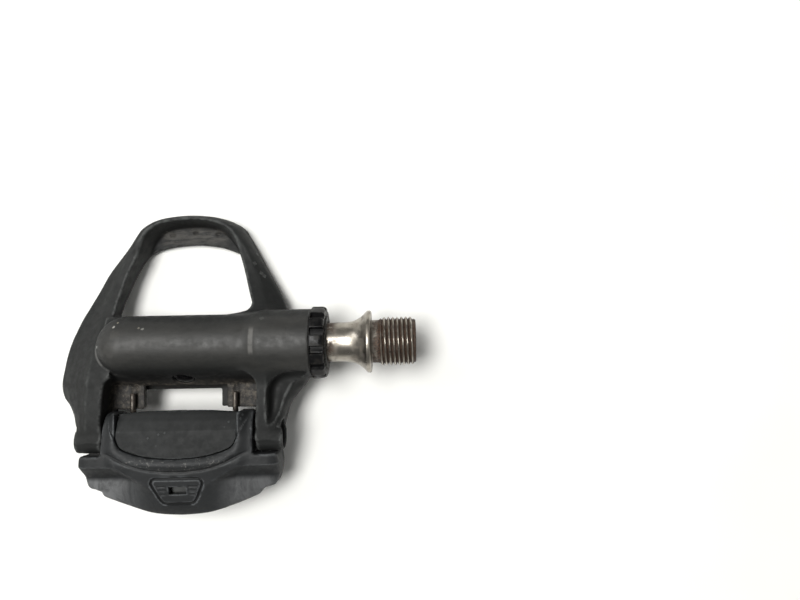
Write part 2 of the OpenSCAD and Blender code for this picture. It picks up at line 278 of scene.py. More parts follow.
def make_mesh(name, co, faces, smooth=True, sharp=None):
    """A new object from vertices in mm (already in the row frame) and faces of equal size."""
    me = bpy.data.meshes.new(name)
    faces = np.asarray(faces)
    n, k = faces.shape
    me.vertices.add(len(co))
    me.vertices.foreach_set("co", (np.asarray(co, np.float64) * MM).astype(np.float32).ravel())
    me.loops.add(n * k)
    me.loops.foreach_set("vertex_index", faces.astype(np.int32).ravel())
    me.polygons.add(n)
    me.polygons.foreach_set("loop_start", np.arange(0, n * k, k, dtype=np.int32))
    me.update(calc_edges=True)
    me.validate()
    me.polygons.foreach_set("use_smooth", np.full(len(me.polygons), smooth))
    if sharp is not None:
        me.set_sharp_from_angle(angle=math.radians(sharp))
    o = bpy.data.objects.new(name, me)
    bpy.context.scene.collection.objects.link(o)
    return o


def keep_large(co, quads):
    """Drops loose crumbs of the surface, and unused vertices."""
    n = len(co)
    lab = np.arange(n)
    while True:
        m = lab[quads].min(1)
        new = lab.copy()
        for c in range(quads.shape[1]):
            np.minimum.at(new, quads[:, c], m)
        new = new[new]
        if (new == lab).all():
            break
        lab = new
    ids, counts = np.unique(lab[quads[:, 0]], return_counts=True)
    good = ids[counts > 400]
    q = quads[np.isin(lab[quads[:, 0]], good)]
    used = np.unique(q)
    remap = np.full(n, -1)
    remap[used] = np.arange(len(used))
    return co[used], remap[q]


# ------------------------------------------------------------------ pedal body

H_BODY = 0.42
PIN_Y, PIN_Z = -27.3, -1.0


def body_field(ax, h):
    U, Y, Z = ax[0][:, None, None], ax[1][None, :, None], ax[2][None, None, :]
    PU, PY = np.meshgrid(ax[0], ax[1], indexing="ij")
    AU = np.abs(PU)
    # plan outline, a little different left and right as on the real moulding
    front = [(15.0, 36.9), (9.0, 39.7), (0, 40.7), (-9.2, 39.7), (-15.1, 36.9)]
    right = [(28.7, -31.6), (29.0, -28.0), (29.6, -24.0), (30.2, -21.0), (31.3, -17.8), (34.0, -14.4), (36.5, -11.2), (37.8, -8.2),
             (36.9, -3.0), (34.3, 3.0), (31.4, 8.2), (29.2, 12.5), (26.9, 16.8), (24.4, 21.3), (21.7, 26.2), (19.2, 30.6), (17.2, 34.0)]
    left = [(-17.2, 34.0), (-19.5, 30.6), (-23.0, 26.2), (-26.5, 21.3), (-31.1, 12.2), (-34.8, 3.2), (-36.1, -1.6), (-36.8, -6.2),
            (-37.5, -10.6), (-37.5, -13.2), (-36.5, -15.7), (-34.0, -17.6), (-32.9, -19.8), (-31.4, -23.0), (-29.8, -28.0), (-29.2, -31.6)]
    outline = spline(right + front + left, 5)
    d_out = poly_sdf(PU, PY, outline)
    # heights of the top: inner edge, crest, pocket, flange, outer edge
    R = [
        [(0, 36.6, -5.5), (0, 38.3, -5.0), (0, 38.9, -5.1), (0, 39.4, -5.6), (0, 40.2, -6.9)],
        [(7.0, 35.6, -5.5), (7.6, 37.4, -5.0), (7.9, 38.0, -5.1), (8.2, 38.6, -5.6), (8.7, 39.3, -6.9)],
        [(11.6, 33.0, -5.4), (13.0, 34.9, -5.0), (13.5, 35.5, -5.3), (14.0, 36.0, -6.0), (14.7, 36.7, -7.6)],
        [(14.8, 28.2, -5.2), (17.2, 29.4, -5.3), (17.9, 29.7, -6.2), (18.6, 30.0, -7.3), (19.4, 30.4, -8.6)],
        [(16.9, 22.0, -4.8), (20.8, 22.2, -5.7), (21.9, 22.3, -6.8), (22.9, 22.3, -7.9), (24.0, 22.4, -9.0)],
        [(18.2, 17.0, -4.3), (22.6, 17.0, -5.8), (23.9, 17.0, -6.9), (25.3, 17.0, -8.0), (26.8, 17.0, -9.0)],
        [(19.8, 11.5, -3.4), (24.0, 11.5, -4.7), (25.8, 11.5, -6.1), (27.7, 11.6, -7.4), (29.6, 11.6, -8.6)],
        [(21.0, 8.0, -2.4), (25.0, 7.6, -3.1), (27.2, 7.6, -4.8), (29.4, 7.6, -6.6), (31.7, 7.6, -8.4)],
        [(21.6, 0, 1.4), (25.4, -1, 1.6), (28.5, -1, -1.0), (32.0, -1, -4.0), (36.0, -1, -6.4)],
        [(21.7, -7.6, 4.4), (25.7, -8.2, 4.9), (29.0, -8.2, 3.0), (34.6, -8.6, 0.6), (37.0, -8.6, -1.6)],
        [(21.8, -11.6, 4.3), (25.9, -12, 4.9), (28.4, -12.4, 2.4), (33.0, -11.9, 0.6), (35.6, -11.6, -1.8)],
        [(21.9, -16, 4.2), (25.9, -16, 4.8), (28.1, -16.4, 2.0), (30.7, -15.9, 0.8), (32.5, -15.8, -1.6)],
        [(22.0, -20, 3.8), (25.9, -20.2, 4.3), (27.9, -20.6, 2.0), (29.4, -20.3, 0.9), (30.6, -20.1, -1.2)],
        [(22.0, -23.4, 3.4), (26.2, -23.4, 3.8), (28.0, -23.4, 2.9), (29.2, -23.4, 1.7), (31.0, -23.4, 0.0)],
        [(22.0, -27.3, 2.75), (26.4, -27.3, 2.85), (28.0, -27.3, 2.5), (29.0, -27.3, 1.9), (30.4, -27.3, 0.9)],
        [(22.0, -32.5, 2.2), (26.4, -32.5, 2.3), (28.0, -32.5, 2.0), (29.0, -32.5, 1.4), (30.2, -32.5, 0.4)]]
    Lft = [[(-a, b, c) for a, b, c in row] for row in R[:3]] + [
        [(-14.8, 28.2, -5.2), (-17.3, 29.4, -5.2), (-18.1, 29.8, -6.1), (-19.0, 30.2, -7.2), (-20.1, 30.8, -8.5)],
        [(-16.9, 22.0, -4.8), (-21.0, 22.2, -5.5), (-22.6, 22.4, -6.7), (-24.4, 22.5, -7.8), (-26.4, 22.7, -9.0)],
        [(-18.2, 17.0, -4.3), (-23.0, 17.0, -5.4), (-24.9, 17.0, -6.7), (-27.0, 17.1, -7.8), (-29.2, 17.2, -9.0)],
        [(-19.8, 11.5, -3.4), (-24.4, 11.5, -4.2), (-26.8, 11.6, -5.7), (-29.3, 11.7, -6.9), (-31.9, 11.8, -8.0)],
        [(-21.0, 8.0, -2.4), (-24.9, 7.6, -2.6), (-27.9, 7.6, -4.2), (-30.9, 7.6, -5.6), (-34.0, 7.7, -7.0)],
        [(-21.6, 0, 1.4), (-24.8, -1, 2.0), (-28.8, -1, -0.5), (-33.0, -1, -3.1), (-37.4, -1, -6.0)],
        [(-21.7, -7.6, 4.4), (-25.2, -8.2, 4.9), (-29.4, -8.4, 2.1), (-33.8, -8.6, -1.3), (-38.3, -8.8, -5.2)],
        [(-21.8, -11.6, 4.3), (-25.4, -12, 4.9), (-29.6, -12.2, 2.1), (-33.8, -12.3, -1.2), (-38.3, -12.4, -5.2)],
        [(-21.9, -16, 4.2), (-25.8, -16, 4.8), (-29.0, -16, 2.6), (-32.6, -16, -0.4), (-36.3, -16, -4.4)],
        [(-22.0, -20, 3.8), (-26.0, -20.2, 4.3), (-28.2, -20.2, 3.0), (-30.6, -20.2, 0.6), (-33.0, -20.0, -2.6)],
        [(-22.0, -23.4, 3.4), (-26.2, -23.4, 3.8), (-28.2, -23.4, 2.8), (-30.0, -23.4, 1.2), (-31.9, -23.4, -1.2)],
        [(-22.0, -27.3, 2.75), (-26.4, -27.3, 2.85), (-28.0, -27.3, 2.4), (-29.2, -27.3, 1.6), (-30.9, -27.3, 0.2)],
        [(-22.0, -32.5, 2.2), (-26.4, -32.5, 2.3), (-28.0, -32.5, 1.9), (-29.2, -32.5, 1.1), (-30.6, -32.5, -0.3)]]

    def wide(row):
        r = np.array(row, float)
        return np.concatenate([[r[0] + (r[0] - r[1]) * [0.9, 0.9, 0.2]], r, [r[-1] + (r[-1] - r[-2]) * [1.6, 1.6, 1.2]]])
    top_r = raster_heights(PU, PY, [wide(r) for r in R], 6)
    top_l = raster_heights(PU, PY, [wide(r) for r in Lft], 6)
    top = np.where(PU >= 0, top_r, top_l)
    top = blur(fill(top, 60), 1)
    bot = np.interp(PY, [-34, -27.3, -24, -21, -17, 7.6, 11.5, 14, 17, 21, 28, 31, 34], [-4.4, -4.8, -6.6, -7.7, -8.2, -8.2, -9.2, -10.2, -11.3, -12.2, -13.3, -14.3, -14.5])
    bot = blur(bot, 3)
    lean = (0.12 * np.clip(Z + 12.5, 0, None) * sstep(8, 30, Y)).astype(np.float32)
    F = smax(d_out[:, :, None] + lean, over_height(Z, top, h), 1.0)
    F = smax(F, under_height(Z, bot, h), 1.0)
    # open toe loop: through hole, and the bay above the lip
    hole = ([(-21.4, 6.0), (-21.2, 9.4)] + list(map(tuple, spline([(-20.4, 13.8), (-18.4, 20.4), (-15.8, 25.9), (-13.3, 28.9), (-8.4, 30.7), (0, 31.5), (7.4, 30.7), (12.0, 29.2), (15.2, 27.4), (16.6, 24.2), (17.4, 21.0), (18.7, 15.6), (19.6, 12.4)], 4)))
            + list(map(tuple, spline([(19.5, 11.4), (18.6, 10.3), (16.4, 9.5), (12.0, 9.1)], 3))) + [(12.0, 6.0)])
    d_hole = poly_sdf(PU, PY, hole)
    side_l = [(-21.4, 6.0), (-21.2, 9.4), (-20.4, 13.8), (-18.4, 20.4), (-15.8, 25.9)]
    side_r = [(16.2, 25.6), (17.4, 21.0), (18.7, 15.6), (19.6, 12.4), (18.4, 10.2), (14.0, 9.2), (12.0, 6.0)]
    low = side_l + list(map(tuple, spline([(-14.4, 28.4), (-12.9, 31.2), (-10.2, 34.4), (-6.2, 36.4), (0, 36.9), (6.2, 36.4), (10.2, 34.4), (13.1, 31.2), (15.0, 28.4)], 5))) + side_r
    high = side_l + list(map(tuple, spline([(-15.0, 29.2), (-13.6, 33.0), (-11.6, 35.5), (-7.6, 37.5), (0, 38.55), (7.6, 37.6), (11.8, 35.7), (14.0, 33.0), (15.6, 29.2)], 5))) + side_r
    d_low, d_high = poly_sdf(PU, PY, low), poly_sdf(PU, PY, high)
    t = np.clip((Z + 11.5) / 6.4, 0, 1.3)
    cav = d_low[:, :, None] * (1 - t) + d_high[:, :, None] * t
    ledge = -11.6 + 0.10 * (PY - 34)
    cav = smax(cav, ledge[:, :, None] - Z, 0.5)
    for nu, ny_ in ((-7.0, 34.6), (0.3, 35.2), (7.4, 34.7)):
        # moulding marks on the ledge
        spot = np.sqrt(((U - nu) / 0.95) ** 2 + ((Y - ny_) / 0.55) ** 2 + ((Z + 11.5) / 0.6) ** 2) * 0.55 - 0.55
        cav = np.minimum(cav, spot)
    F = smax(F, -cav, 0.7)
    F = smax(F, -(d_hole[:, :, None]), 0.8)
    # bay between the arms, and what lies under the tube
    rec = ([(0, -6.4), (18.0, -6.4)] + list(map(tuple, spline([(19.6, -6.6), (21.3, -7.8), (22.5, -9.7), (23.0, -12.6), (22.9, -17.0), (22.4, -22.0)], 4))) + [(22.4, -40), (-22.0, -40)]
           + list(map(tuple, spline([(-22.0, -22.0), (-21.5, -16.5), (-21.1, -12.6), (-20.4, -10.6), (-19.0, -9.1), (-16.6, -7.8)], 4))) + [(-14.0, -7.0), (-8.0, -6.4)])
    d_rec = poly_sdf(PU, PY, rec)
    F = smax(F, -(d_rec[:, :, None]), 0.8)
    F = np.maximum(F, -np.maximum(np.maximum(np.abs(U) - 19.0, Y - 8.6), -30 - Y))
    F = np.maximum(F, PIN_Y - Y)
    # round ends that carry the pin
    ear = np.maximum(np.sqrt((Y - PIN_Y) ** 2 + (Z - PIN_Z) ** 2) - 3.85, np.abs(np.abs(U) - 26.2) - 4.0)
    ear = smax(np.sqrt((Y - PIN_Y) ** 2 + (Z - PIN_Z) ** 2) - 3.85, np.abs(np.abs(U) - 26.2) - 3.85, 0.7)
    F = smin(F, ear, 1.0)
    # platform web with its sloping rear wall
    yz = poly_sdf(*np.meshgrid(ax[1], ax[2], indexing="ij"), [(8.6, -8.2), (8.6, -2), (0, 3), (-7.2, 3.6), (-8.4, 2.4), (-12.0, -4.0), (-12.2, -6.5), (-13.4, -7.1), (-13.4, -8.2)])
    web = smax(yz[None, :, :], np.abs(U) - 23.2, 0.5)
    F = smin(F, web, 0.7)
    # spring blocks
    for u0, u1, y0, y1, z1, lean_in in ((-22.4, -12.2, -18.8, -10.0, -3.5, 0.28), (12.5, 23.2, -18.8, -10.0, -3.5, 0.0), (9.9, 12.8, -18.8, -10.0, -6.9, 0.0)):
        side = np.abs(U - (u0 + u1) / 2) - (u1 - u0) / 2 + lean_in * np.clip(z1 - Z, 0, None) * (U > (u0 + u1) / 2)
        b = smax(smax(side, np.abs(Y - (y0 + y1) / 2) - (y1 - y0) / 2, 0.5), np.abs(Z - (z1 - 8.2) / 2) - (z1 + 8.2) / 2, 0.4)
        F = smin(F, b, 0.4)
    # shallow channels worn by the spring legs
    for s in (-1, 1):
        ch = np.maximum(np.sqrt((U - s * 15.2) ** 2 + (Z + 2.7) ** 2) - 1.25, np.abs(Y + 15.6) - 3.4)
        F = smax(F, -ch, 0.3)
    # spindle tube: dome end, plain part, mouth
    rad = 8.7 + 1.15 * sstep(19.5, 25.0, U)
    ryz = np.sqrt(Y * Y + Z * Z)
    tube = np.where(U < -15.4, np.sqrt((U + 15.4) ** 2 + Y * Y + Z * Z) - 8.7, ryz - rad)
    tube = smax(tube, U - 38.8, 0.6)
    F = smin(F, tube, 0.5 + 0.7 * sstep(-18, -9, U) + 2.0 * sstep(12, 21, U) + 0.0 * Y)
    # scooped pocket between arm, mouth and flange
    scoop = list(map(tuple, spline([(25.8, -24.6), (25.8, -19.0), (25.8, -14.4), (26.2, -12.2), (27.1, -10.7), (28.6, -9.4), (30.7, -8.5), (33.2, -8.0), (35.6, -7.9)], 4))) + [(37.4, -8.2), (36.4, -11.4), (33.0, -16.6), (30.8, -21.4), (29.4, -24.6)]
    d_sc = poly_sdf(PU, PY, scoop)
    rim = np.interp(PY, [-24.6, -23.5, -19.8, -15.5, -11.5, -8.6, -6.6], [28.6, 29.0, 29.8, 31.3, 34.2, 36.8, 38.2])
    deep = -0.9 + 2.3 * np.clip((PU - 26.4) / (rim - 26.4), 0, 1.4) ** 1.1 + 0.16 * np.clip(-18.4 - PY, 0, None) ** 2 + 0.05 * (PY + 12) ** 2 * (PY > -12)
    deep = blur(deep, 4)
    F = smax(F, -smax(d_sc[:, :, None] + 0.12 * (4.5 - Z), deep[:, :, None] - Z, 2.8), 0.35)
    # flat under the tube for the steel plate
    F = np.where((Y < 8.6) & (Y > -26.0) & (Z < -7.4), np.maximum(F, -8.2 - Z), F)
    # bores
    F = np.maximum(F, -np.maximum(ryz - 7.0, np.maximum(-15.6 - U, U - 30.5)))
    F = np.maximum(F, -np.maximum(ryz - 8.02, 29.0 - U))
    F = np.maximum(F, -np.maximum(ryz - 5.2, np.maximum(-20.0 - U, U + 15.0)))
    rp = np.sqrt((Y - PIN_Y) ** 2 + (Z - PIN_Z) ** 2)
    F = np.maximum(F, -(rp - 1.66))
    F = smax(F, -smax(rp - 2.5, 28.2 - np.abs(U), 0.2), 0.5)
    # oval seat of the pin end in the outer face of each arm
    oval = (np.sqrt(((Y + 26.4) / 4.3) ** 2 + ((Z + 1.0) / 2.75) ** 2) - 1) * 2.75
    F = smax(F, -smax(oval, 28.5 - np.abs(U), 0.3), 0.35)
    # seat of the round label
    c, s = math.cos(math.radians(58.4)), math.sin(math.radians(58.4))
    ly = (Y + 9.8) * c + (Z + 0.5) * s
    lz = -(Y + 9.8) * s + (Z + 0.5) * c
    F = np.maximum(F, -np.maximum(np.sqrt((U - 0.6) ** 2 + ly ** 2) - 3.15, np.abs(lz - 1.5) - 2.0))
    # countersunk screw holes
    for m in (-1, 1):
        rr = np.sqrt((U - m * 17.5) ** 2 + (Y + 10.2) ** 2)
        F = np.maximum(F, -np.maximum(rr - 0.98 - np.clip(-7.8 - Z, 0, 1) * 1.0, Z + 4.1))
    return F


ax = axes((-39.6, -32.4, -15.4), (39.8, 41.2, 10.8), H_BODY)
co, quads = extract(body_field(ax, H_BODY), ax, H_BODY)
co, quads = keep_large(co, quads)
co[:, 0] += CX
body = make_mesh("moulded_body", co, quads, sharp=50)
print("body faces", len(quads))

# ------------------------------------------------------------------ rear claw

H_CLAW = 0.27


def bolt_frame(Y, Z):
    c, s = math.cos(math.radians(130)), math.sin(math.radians(130))
    y, z = Y + 40.6, Z + 3.2
    return y * c + z * s, -y * s + z * c


PANEL_EDGE = [(-17.3, -26.6), (-15.6, -29.3), (-10.9, -31.1), (-5.7, -32.0), (0, -32.3), (5.7, -32.0), (10.9, -31.1), (15.6, -29.3), (17.3, -26.6)]
RIDGE_EDGE = [(-21.6, -30.2), (-18.4, -31.2), (-13.4, -33.6), (-8.0, -35.2), (0, -35.9), (8.0, -35.2), (13.4, -33.6), (18.4, -31.2), (21.6, -30.2)]


def claw_field(ax, h):
    U, Y, Z = ax[0][:, None, None], ax[1][None, :, None], ax[2][None, None, :]
    PU, PY = np.meshgrid(ax[0], ax[1], indexing="ij")
    AU = np.abs(PU)
    rear = list(map(tuple, spline([(28.7, -33.4), (28.8, -35.8), (28.3, -38.6), (27.3, -40.9), (25.0, -41.7)], 5))) + list(map(tuple, spline([(23.3, -42.4), (22.6, -43.7), (20.0, -44.9), (14.9, -46.9), (7.8, -48.9), (0, -49.6)], 5)))
    plan = [(0, -25.0), (16.8, -25.0), (17.0, -19.6), (18.0, -19.2), (20.8, -19.2), (21.5, -19.8), (21.6, -27.0), (21.7, -30.9), (22.4, -31.4), (27.9, -31.4), (28.5, -32.0)] + rear
    d_plan = poly_sdf(PU, PY, mirrored(plan))
    # height of the top
    spine = spline([(-28, 5.0), (-31, 5.1), (-33.5, 5.3), (-35.8, 4.7), (-37.2, 4.35), (-41, 3.2), (-45.5, 1.6), (-48.0, 0.1), (-49.8, -1.6)], 6)[::-1]
    should = spline([(-18.6, -0.6), (-19.4, 0.8), (-20.6, 2.2), (-22.6, 3.4), (-26.0, 4.3), (-30.4, 4.7), (-34.1, 4.6), (-34.6, 4.4), (-37.3, 1.35), (-38.6, 0.6), (-42, 0.2), (-45, -0.6), (-49.8, -2.4)], 6)[::-1]
    hs = np.interp(PY, spine[:, 0], spine[:, 1])
    hh = np.interp(PY, should[:, 0], should[:, 1])
    b = np.interp(PY, [-50, -43, -39, -34.6, -33], [10.5, 10.5, 12.6, 18.2, 19.0])
    soft = np.interp(PY, [-50, -42, -38.5, -34.6], [7.5, 5.5, 3.0, 1.6])
    w = sstep(-soft, soft, AU - b)
    top = hs * (1 - w) + hh * w
    # crown across, and the falling ends of the shoulders
    top -= 0.0012 * AU ** 2
    top -= 0.10 * np.clip(AU - 25.4, 0, None) ** 2
    # ridge that frames the cover
    dr, sr = curve_dist(PU, PY, spline(RIDGE_EDGE, 6))
    dp, sp = curve_dist(PU, PY, spline(PANEL_EDGE, 6))
    on = sstep(21.5, 17.0, AU)
    across = np.clip(np.where(sr > 0, dr, 0) / np.maximum(dr + dp, 1e-3), 0, 1)
    bump = np.where((sr > 0) & (sp <= 0), np.sin(np.pi * across) ** 0.7, 0)
    top += 0.75 * bump * on
    top -= 0.40 * np.exp(-(dr / 0.45) ** 2) * on
    # trapezoid emblem line with tick lines beside the window
    trap = mirrored([(0, -37.9), (6.2, -37.9)] + list(map(tuple, spline([(6.9, -38.2), (7.3, -39.2), (6.9, -40.6)], 3))) + list(map(tuple, spline([(5.4, -43.8), (4.5, -45.0), (3.2, -45.5)], 3))) + [(0, -45.5)])
    dt = poly_sdf(PU, PY, trap)
    top -= 0.75 * np.exp(-(dt / 0.34) ** 4)
    top -= np.where(dt < -0.3, 0.12, 0)
    for ty, a, c in ((-40.2, 3.4, 5.7), (-41.4, 3.4, 5.3), (-42.6, 3.4, 4.9)):
        line = np.maximum(np.abs(PY - ty) - 0.12, np.abs(AU - (a + c) / 2) - (c - a) / 2)
        top -= 0.16 * np.clip(1 - line / 0.22, 0, 1)
    F = smax(d_plan[:, :, None], over_height(Z, top, h), 0.7)
    # underside
    ys = [-52, -49.8, -47.6, -25.0, -22.2, -20.4, -18.0]
    zs = [-7.6, -7.6, -7.6, -7.4, -5.8, -3.8, -1.5]
    base = np.interp(PY, ys, zs)
    F = smax(F, under_height(Z, base, h), 0.6)
    # rear wall and lip
    lip = poly_sdf(*np.meshgrid(ax[1], ax[2], indexing="ij"), [(-44.2, -6), (-44.2, -11.3), (-38.4, -11.5), (-37.8, -13.4), (-38.8, -14.5), (-46.2, -14.5), (-48.0, -12.0), (-49.5, -7.0), (-49.4, -6)])
    lip = smax(lip[None, :, :], np.abs(U) - 17.0 + np.clip(-45.0 - Y, 0, None) * 0.9, 0.9)
    lip = smax(lip, d_plan[:, :, None] + 0.5, 0.8)
    F = smin(F, lip, 0.6)
    # clearances
    rp = np.sqrt((Y - PIN_Y) ** 2 + (Z - PIN_Z) ** 2)
    F = np.maximum(F, -np.maximum(rp - 4.75, np.abs(U) - 16.4))
    F = np.maximum(F, -(rp - 1.65))
    F = np.maximum(F, -np.maximum(rp - 4.25, 21.5 - np.abs(U)))
    seat = poly_sdf(PU, PY, mirrored([(0, -18.0), (17.4, -18.4)] + list(map(tuple, spline([(17.4, -26.6), (15.7, -29.35), (10.95, -31.15), (5.7, -32.05), (0, -32.35)], 5)))))
    F = smax(F, -np.maximum(seat[:, :, None], -1 - Z), 0.25)
    F = np.maximum(F, -np.maximum(np.maximum(np.abs(U) - 16.4, np.abs(Y + 23.4) - 4.6), np.abs(Z + 2) - 7))
    ch = poly_sdf(*np.meshgrid(ax[1], ax[2], indexing="ij"), [(-27, -5.9), (-27, 3.4), (-34.5, 3.2), (-38.5, 2.5), (-42.6, 1.0), (-44.6, -1.4), (-43.0, -5.9)])
    F = np.maximum(F, -np.maximum(ch[None, :, :], np.abs(U) - 9.4))
    ly, lz = bolt_frame(Y, Z)
    rb = np.sqrt(U ** 2 + ly ** 2)
    F = np.maximum(F, -np.maximum(rb - 1.62, np.maximum(lz - 14, -6.0 - lz)))
    F = smax(F, -np.maximum(rb - 2.78, 5.6 - lz), 0.3)
    F = smax(F, -np.maximum(np.maximum(np.abs(U) - 2.45, np.abs(Y + 41.45) - 1.1), -Z), 0.25)
    return F


ax = axes((-29.4, -50.6, -15.2), (29.4, -18.4, 6.9), H_CLAW)
co, quads = extract(claw_field(ax, H_CLAW), ax, H_CLAW)
co, quads = keep_large(co, quads)
co[:, 0] += CX
claw = make_mesh("moulded_claw", co, quads, sharp=50)
print("claw faces", len(quads))

# ------------------------------------------------------------------ spring cover

H_COVER = 0.2


def cover_field(ax, h):
    U, Y, Z = ax[0][:, None, None], ax[1][None, :, None], ax[2][None, None, :]
    PU, PY = np.meshgrid(ax[0], ax[1], indexing="ij")
    out = mirrored(list(map(tuple, spline([(0, -18.85), (9.4, -19.0), (17.15, -19.6)], 5))) + list(map(tuple, spline([(17.2, -26.5), (15.5, -29.15), (10.82, -30.92), (5.63, -31.83), (0, -32.13)], 5))))
    d = poly_sdf(PU, PY, out)
    prof = np.array([(-33.0, 5.25), (-31.0, 5.15), (-28.0, 5.05), (-24.4, 4.8), (-24.0, 4.62), (-21.6, 3.7), (-19.8, 2.75), (-18.6, 1.9)])
    top = np.interp(PY, prof[:, 0], prof[:, 1]) - 0.0022 * PU ** 2
    top = blur(top, 2)
    low = np.interp(PY, [-33, -27.3, -24, -21, -18.6], [3.9, 4.0, 3.5, 2.2, 0.6]) - 0.0022 * PU ** 2
    F = smax(d[:, :, None], over_height(Z, top, h), 0.3)
    return smax(F, under_height(Z, low, h), 0.3)


ax = axes((-17.8, -32.7, -0.6), (17.8, -18.0, 6.2), H_COVER)
co, quads = extract(cover_field(ax, H_COVER), ax, H_COVER)
co[:, 0] += CX
cover = make_mesh("cover_panel", co, quads, sharp=50)

# ------------------------------------------------------------------ turned and helical pieces


def lathe(name, rows, nth, radius=None, cap0=True, cap1=True, sharp=35):
    """Rings round the X axis. rows are (x, r); radius(x, r, theta) may change r round the ring."""
    th = np.arange(nth) * 2 * math.pi / nth
    co, faces = [], []
    for i, (x, r) in enumerate(rows):
        rr = np.full(nth, r) if radius is None else radius(i, x, r, th)
        co.append(np.stack([np.full(nth, x), rr * np.cos(th), rr * np.sin(th)], 1))
    co = np.concatenate(co)
    m = len(rows)
    j = np.arange(nth)
    k = (j + 1) % nth
    for i in range(m - 1):
        faces.append(np.stack([i * nth + j, i * nth + k, (i + 1) * nth + k, (i + 1) * nth + j], 1))
    faces = np.concatenate(faces)[:, ::-1]
    o = make_mesh(name, co, faces, sharp=sharp)
    me = o.data
    import bmesh
    bm = bmesh.new()
    bm.from_mesh(me)
    bm.verts.ensure_lookup_table()
    if cap0:
        bm.faces.new([bm.verts[q] for q in range(nth)])
    if cap1:
        bm.faces.new([bm.verts[(m - 1) * nth + q] for q in reversed(range(nth))])
    bmesh.ops.recalc_face_normals(bm, faces=bm.faces)
    bm.to_mesh(me)
    bm.free()
    me.set_sharp_from_angle(angle=math.radians(sharp))
    return o


PITCH, R_CREST, R_ROOT = 1.27, 7.12, 6.34
NTH = 144


def spindle_rows():
    rows = [(-74.6, 0.6), (-74.6, 2.7), (-74.2, 3.1), (-73.8, 3.28), (-60.6, 3.28), (-60.4, 3.4), (-60.3, 4.0), (-60.1, 4.25), (-38.2, 4.25), (-37.8, 4.8), (-37.4, 5.5), (-37.2, 5.7)]
    rows += [(x, 5.7) for x in np.linspace(-36, -12.4, 12)]
    flare = spline([(-12.0, 5.70), (-8.8, 5.71), (-6.9, 5.82), (-5.4, 6.08), (-4.2, 6.52), (-3.2, 7.1), (-2.4, 7.75), (-1.75, 8.4), (-1.3, 8.85)], 4)
    rows += [tuple(q) for q in flare]
    rows += [(-1.2, 8.98), (-1.1, 9.07), (-1.0, 9.1), (-0.4, 9.1), (-0.2, 9.05), (-0.08, 8.95), (0.0, 8.8), (0.0, 6.6), (0.05, 6.35), (0.2, 6.25), (2.0, 6.25)]
    n0 = len(rows)
    rows += [(x, -1.0) for x in np.arange(2.1, 12.55, PITCH / 12)]
    n1 = len(rows)
    rows += [(12.75, 6.3), (12.95, 6.12), (13.0, 5.95), (13.0, 5.45), (12.95, 5.3), (12.4, 4.78)]
    n2 = len(rows)
    rows += [(12.3, -2.0), (12.0, -2.0), (8.0, -2.0), (4.8, -2.0), (4.6, -2.0)]
    n3 = len(rows)
    rows += [(4.6, 3.4), (4.4, 3.38), (3.2, 3.3), (2.4, 0.3)]
    return rows, n0, n1, n2, n3


rows, n0, n1, n2, n3 = spindle_rows()


def spindle_radius(i, x, r, th):
    if n0 <= i < n1:
        ph = (x / PITCH - th / (2 * math.pi)) % 1.0
        tri = np.abs(ph - 0.5) * 2              # 1 at the crest, 0 at the root
        prof = np.clip((tri - 0.10) / 0.74, 0, 1)
        depth = (R_CREST - R_ROOT) * sstep(2.2, 3.3, x) * sstep(12.75, 11.7, x)
        base = R_ROOT - 0.05 * sstep(11.8, 12.6, x) - (1 - sstep(2.0, 2.5, x)) * 0.09
        return base + depth * prof
    if n2 <= i < n3:
        a = (th + math.pi / 6) % (math.pi / 3) - math.pi / 6
        return 4.0 / np.cos(a)
    return np.full(len(th), r)


spindle = lathe("steel_spindle", rows, NTH, spindle_radius, sharp=38)

# lock ring: splined flange, threaded skirt, counterbore
NR = 320
ring_rows = [(-26.4, 6.5), (-26.4, 7.85), (-26.2, 7.92)] + [(-26.0 + 0.25 * k, 7.92 - (0.12 if k % 4 in (1, 2) else 0)) for k in range(35)] + [
    (-17.2, 7.9), (-17.15, 10.0), (-17.15, 10.25), (-17.02, 10.42), (-16.85, 10.5), (-16.3, 10.5), (-15.3, 10.5), (-14.4, 10.5), (-13.75, 10.42), (-13.35, 10.2), (-13.15, 9.92),
    (-13.1, 9.6), (-13.1, 8.1), (-13.16, 7.8), (-13.3, 7.68), (-14.7, 7.65), (-14.7, 6.05), (-14.8, 6.0), (-16.0, 6.0), (-16.4, 6.25), (-16.6, 6.5), (-26.4, 6.5)]


def ring_radius(i, x, r, th):
    if r > 9.3:
        ph = (th * 12 / (2 * math.pi) + 0.12) % 1.0
        d = np.abs(ph - 0.5) * 2 * (math.pi * 10.3 / 12)      # distance from the notch centre, mm
        notch = 1 - sstep(0.95, 1.15, d)
        return r - notch * np.minimum(1.05, r - 9.4) * (1 if x > -16.95 else 0)
    return np.full(len(th), r)


ring = lathe("splined_ring", ring_rows, NR, ring_radius, cap0=False, cap1=False, sharp=32)


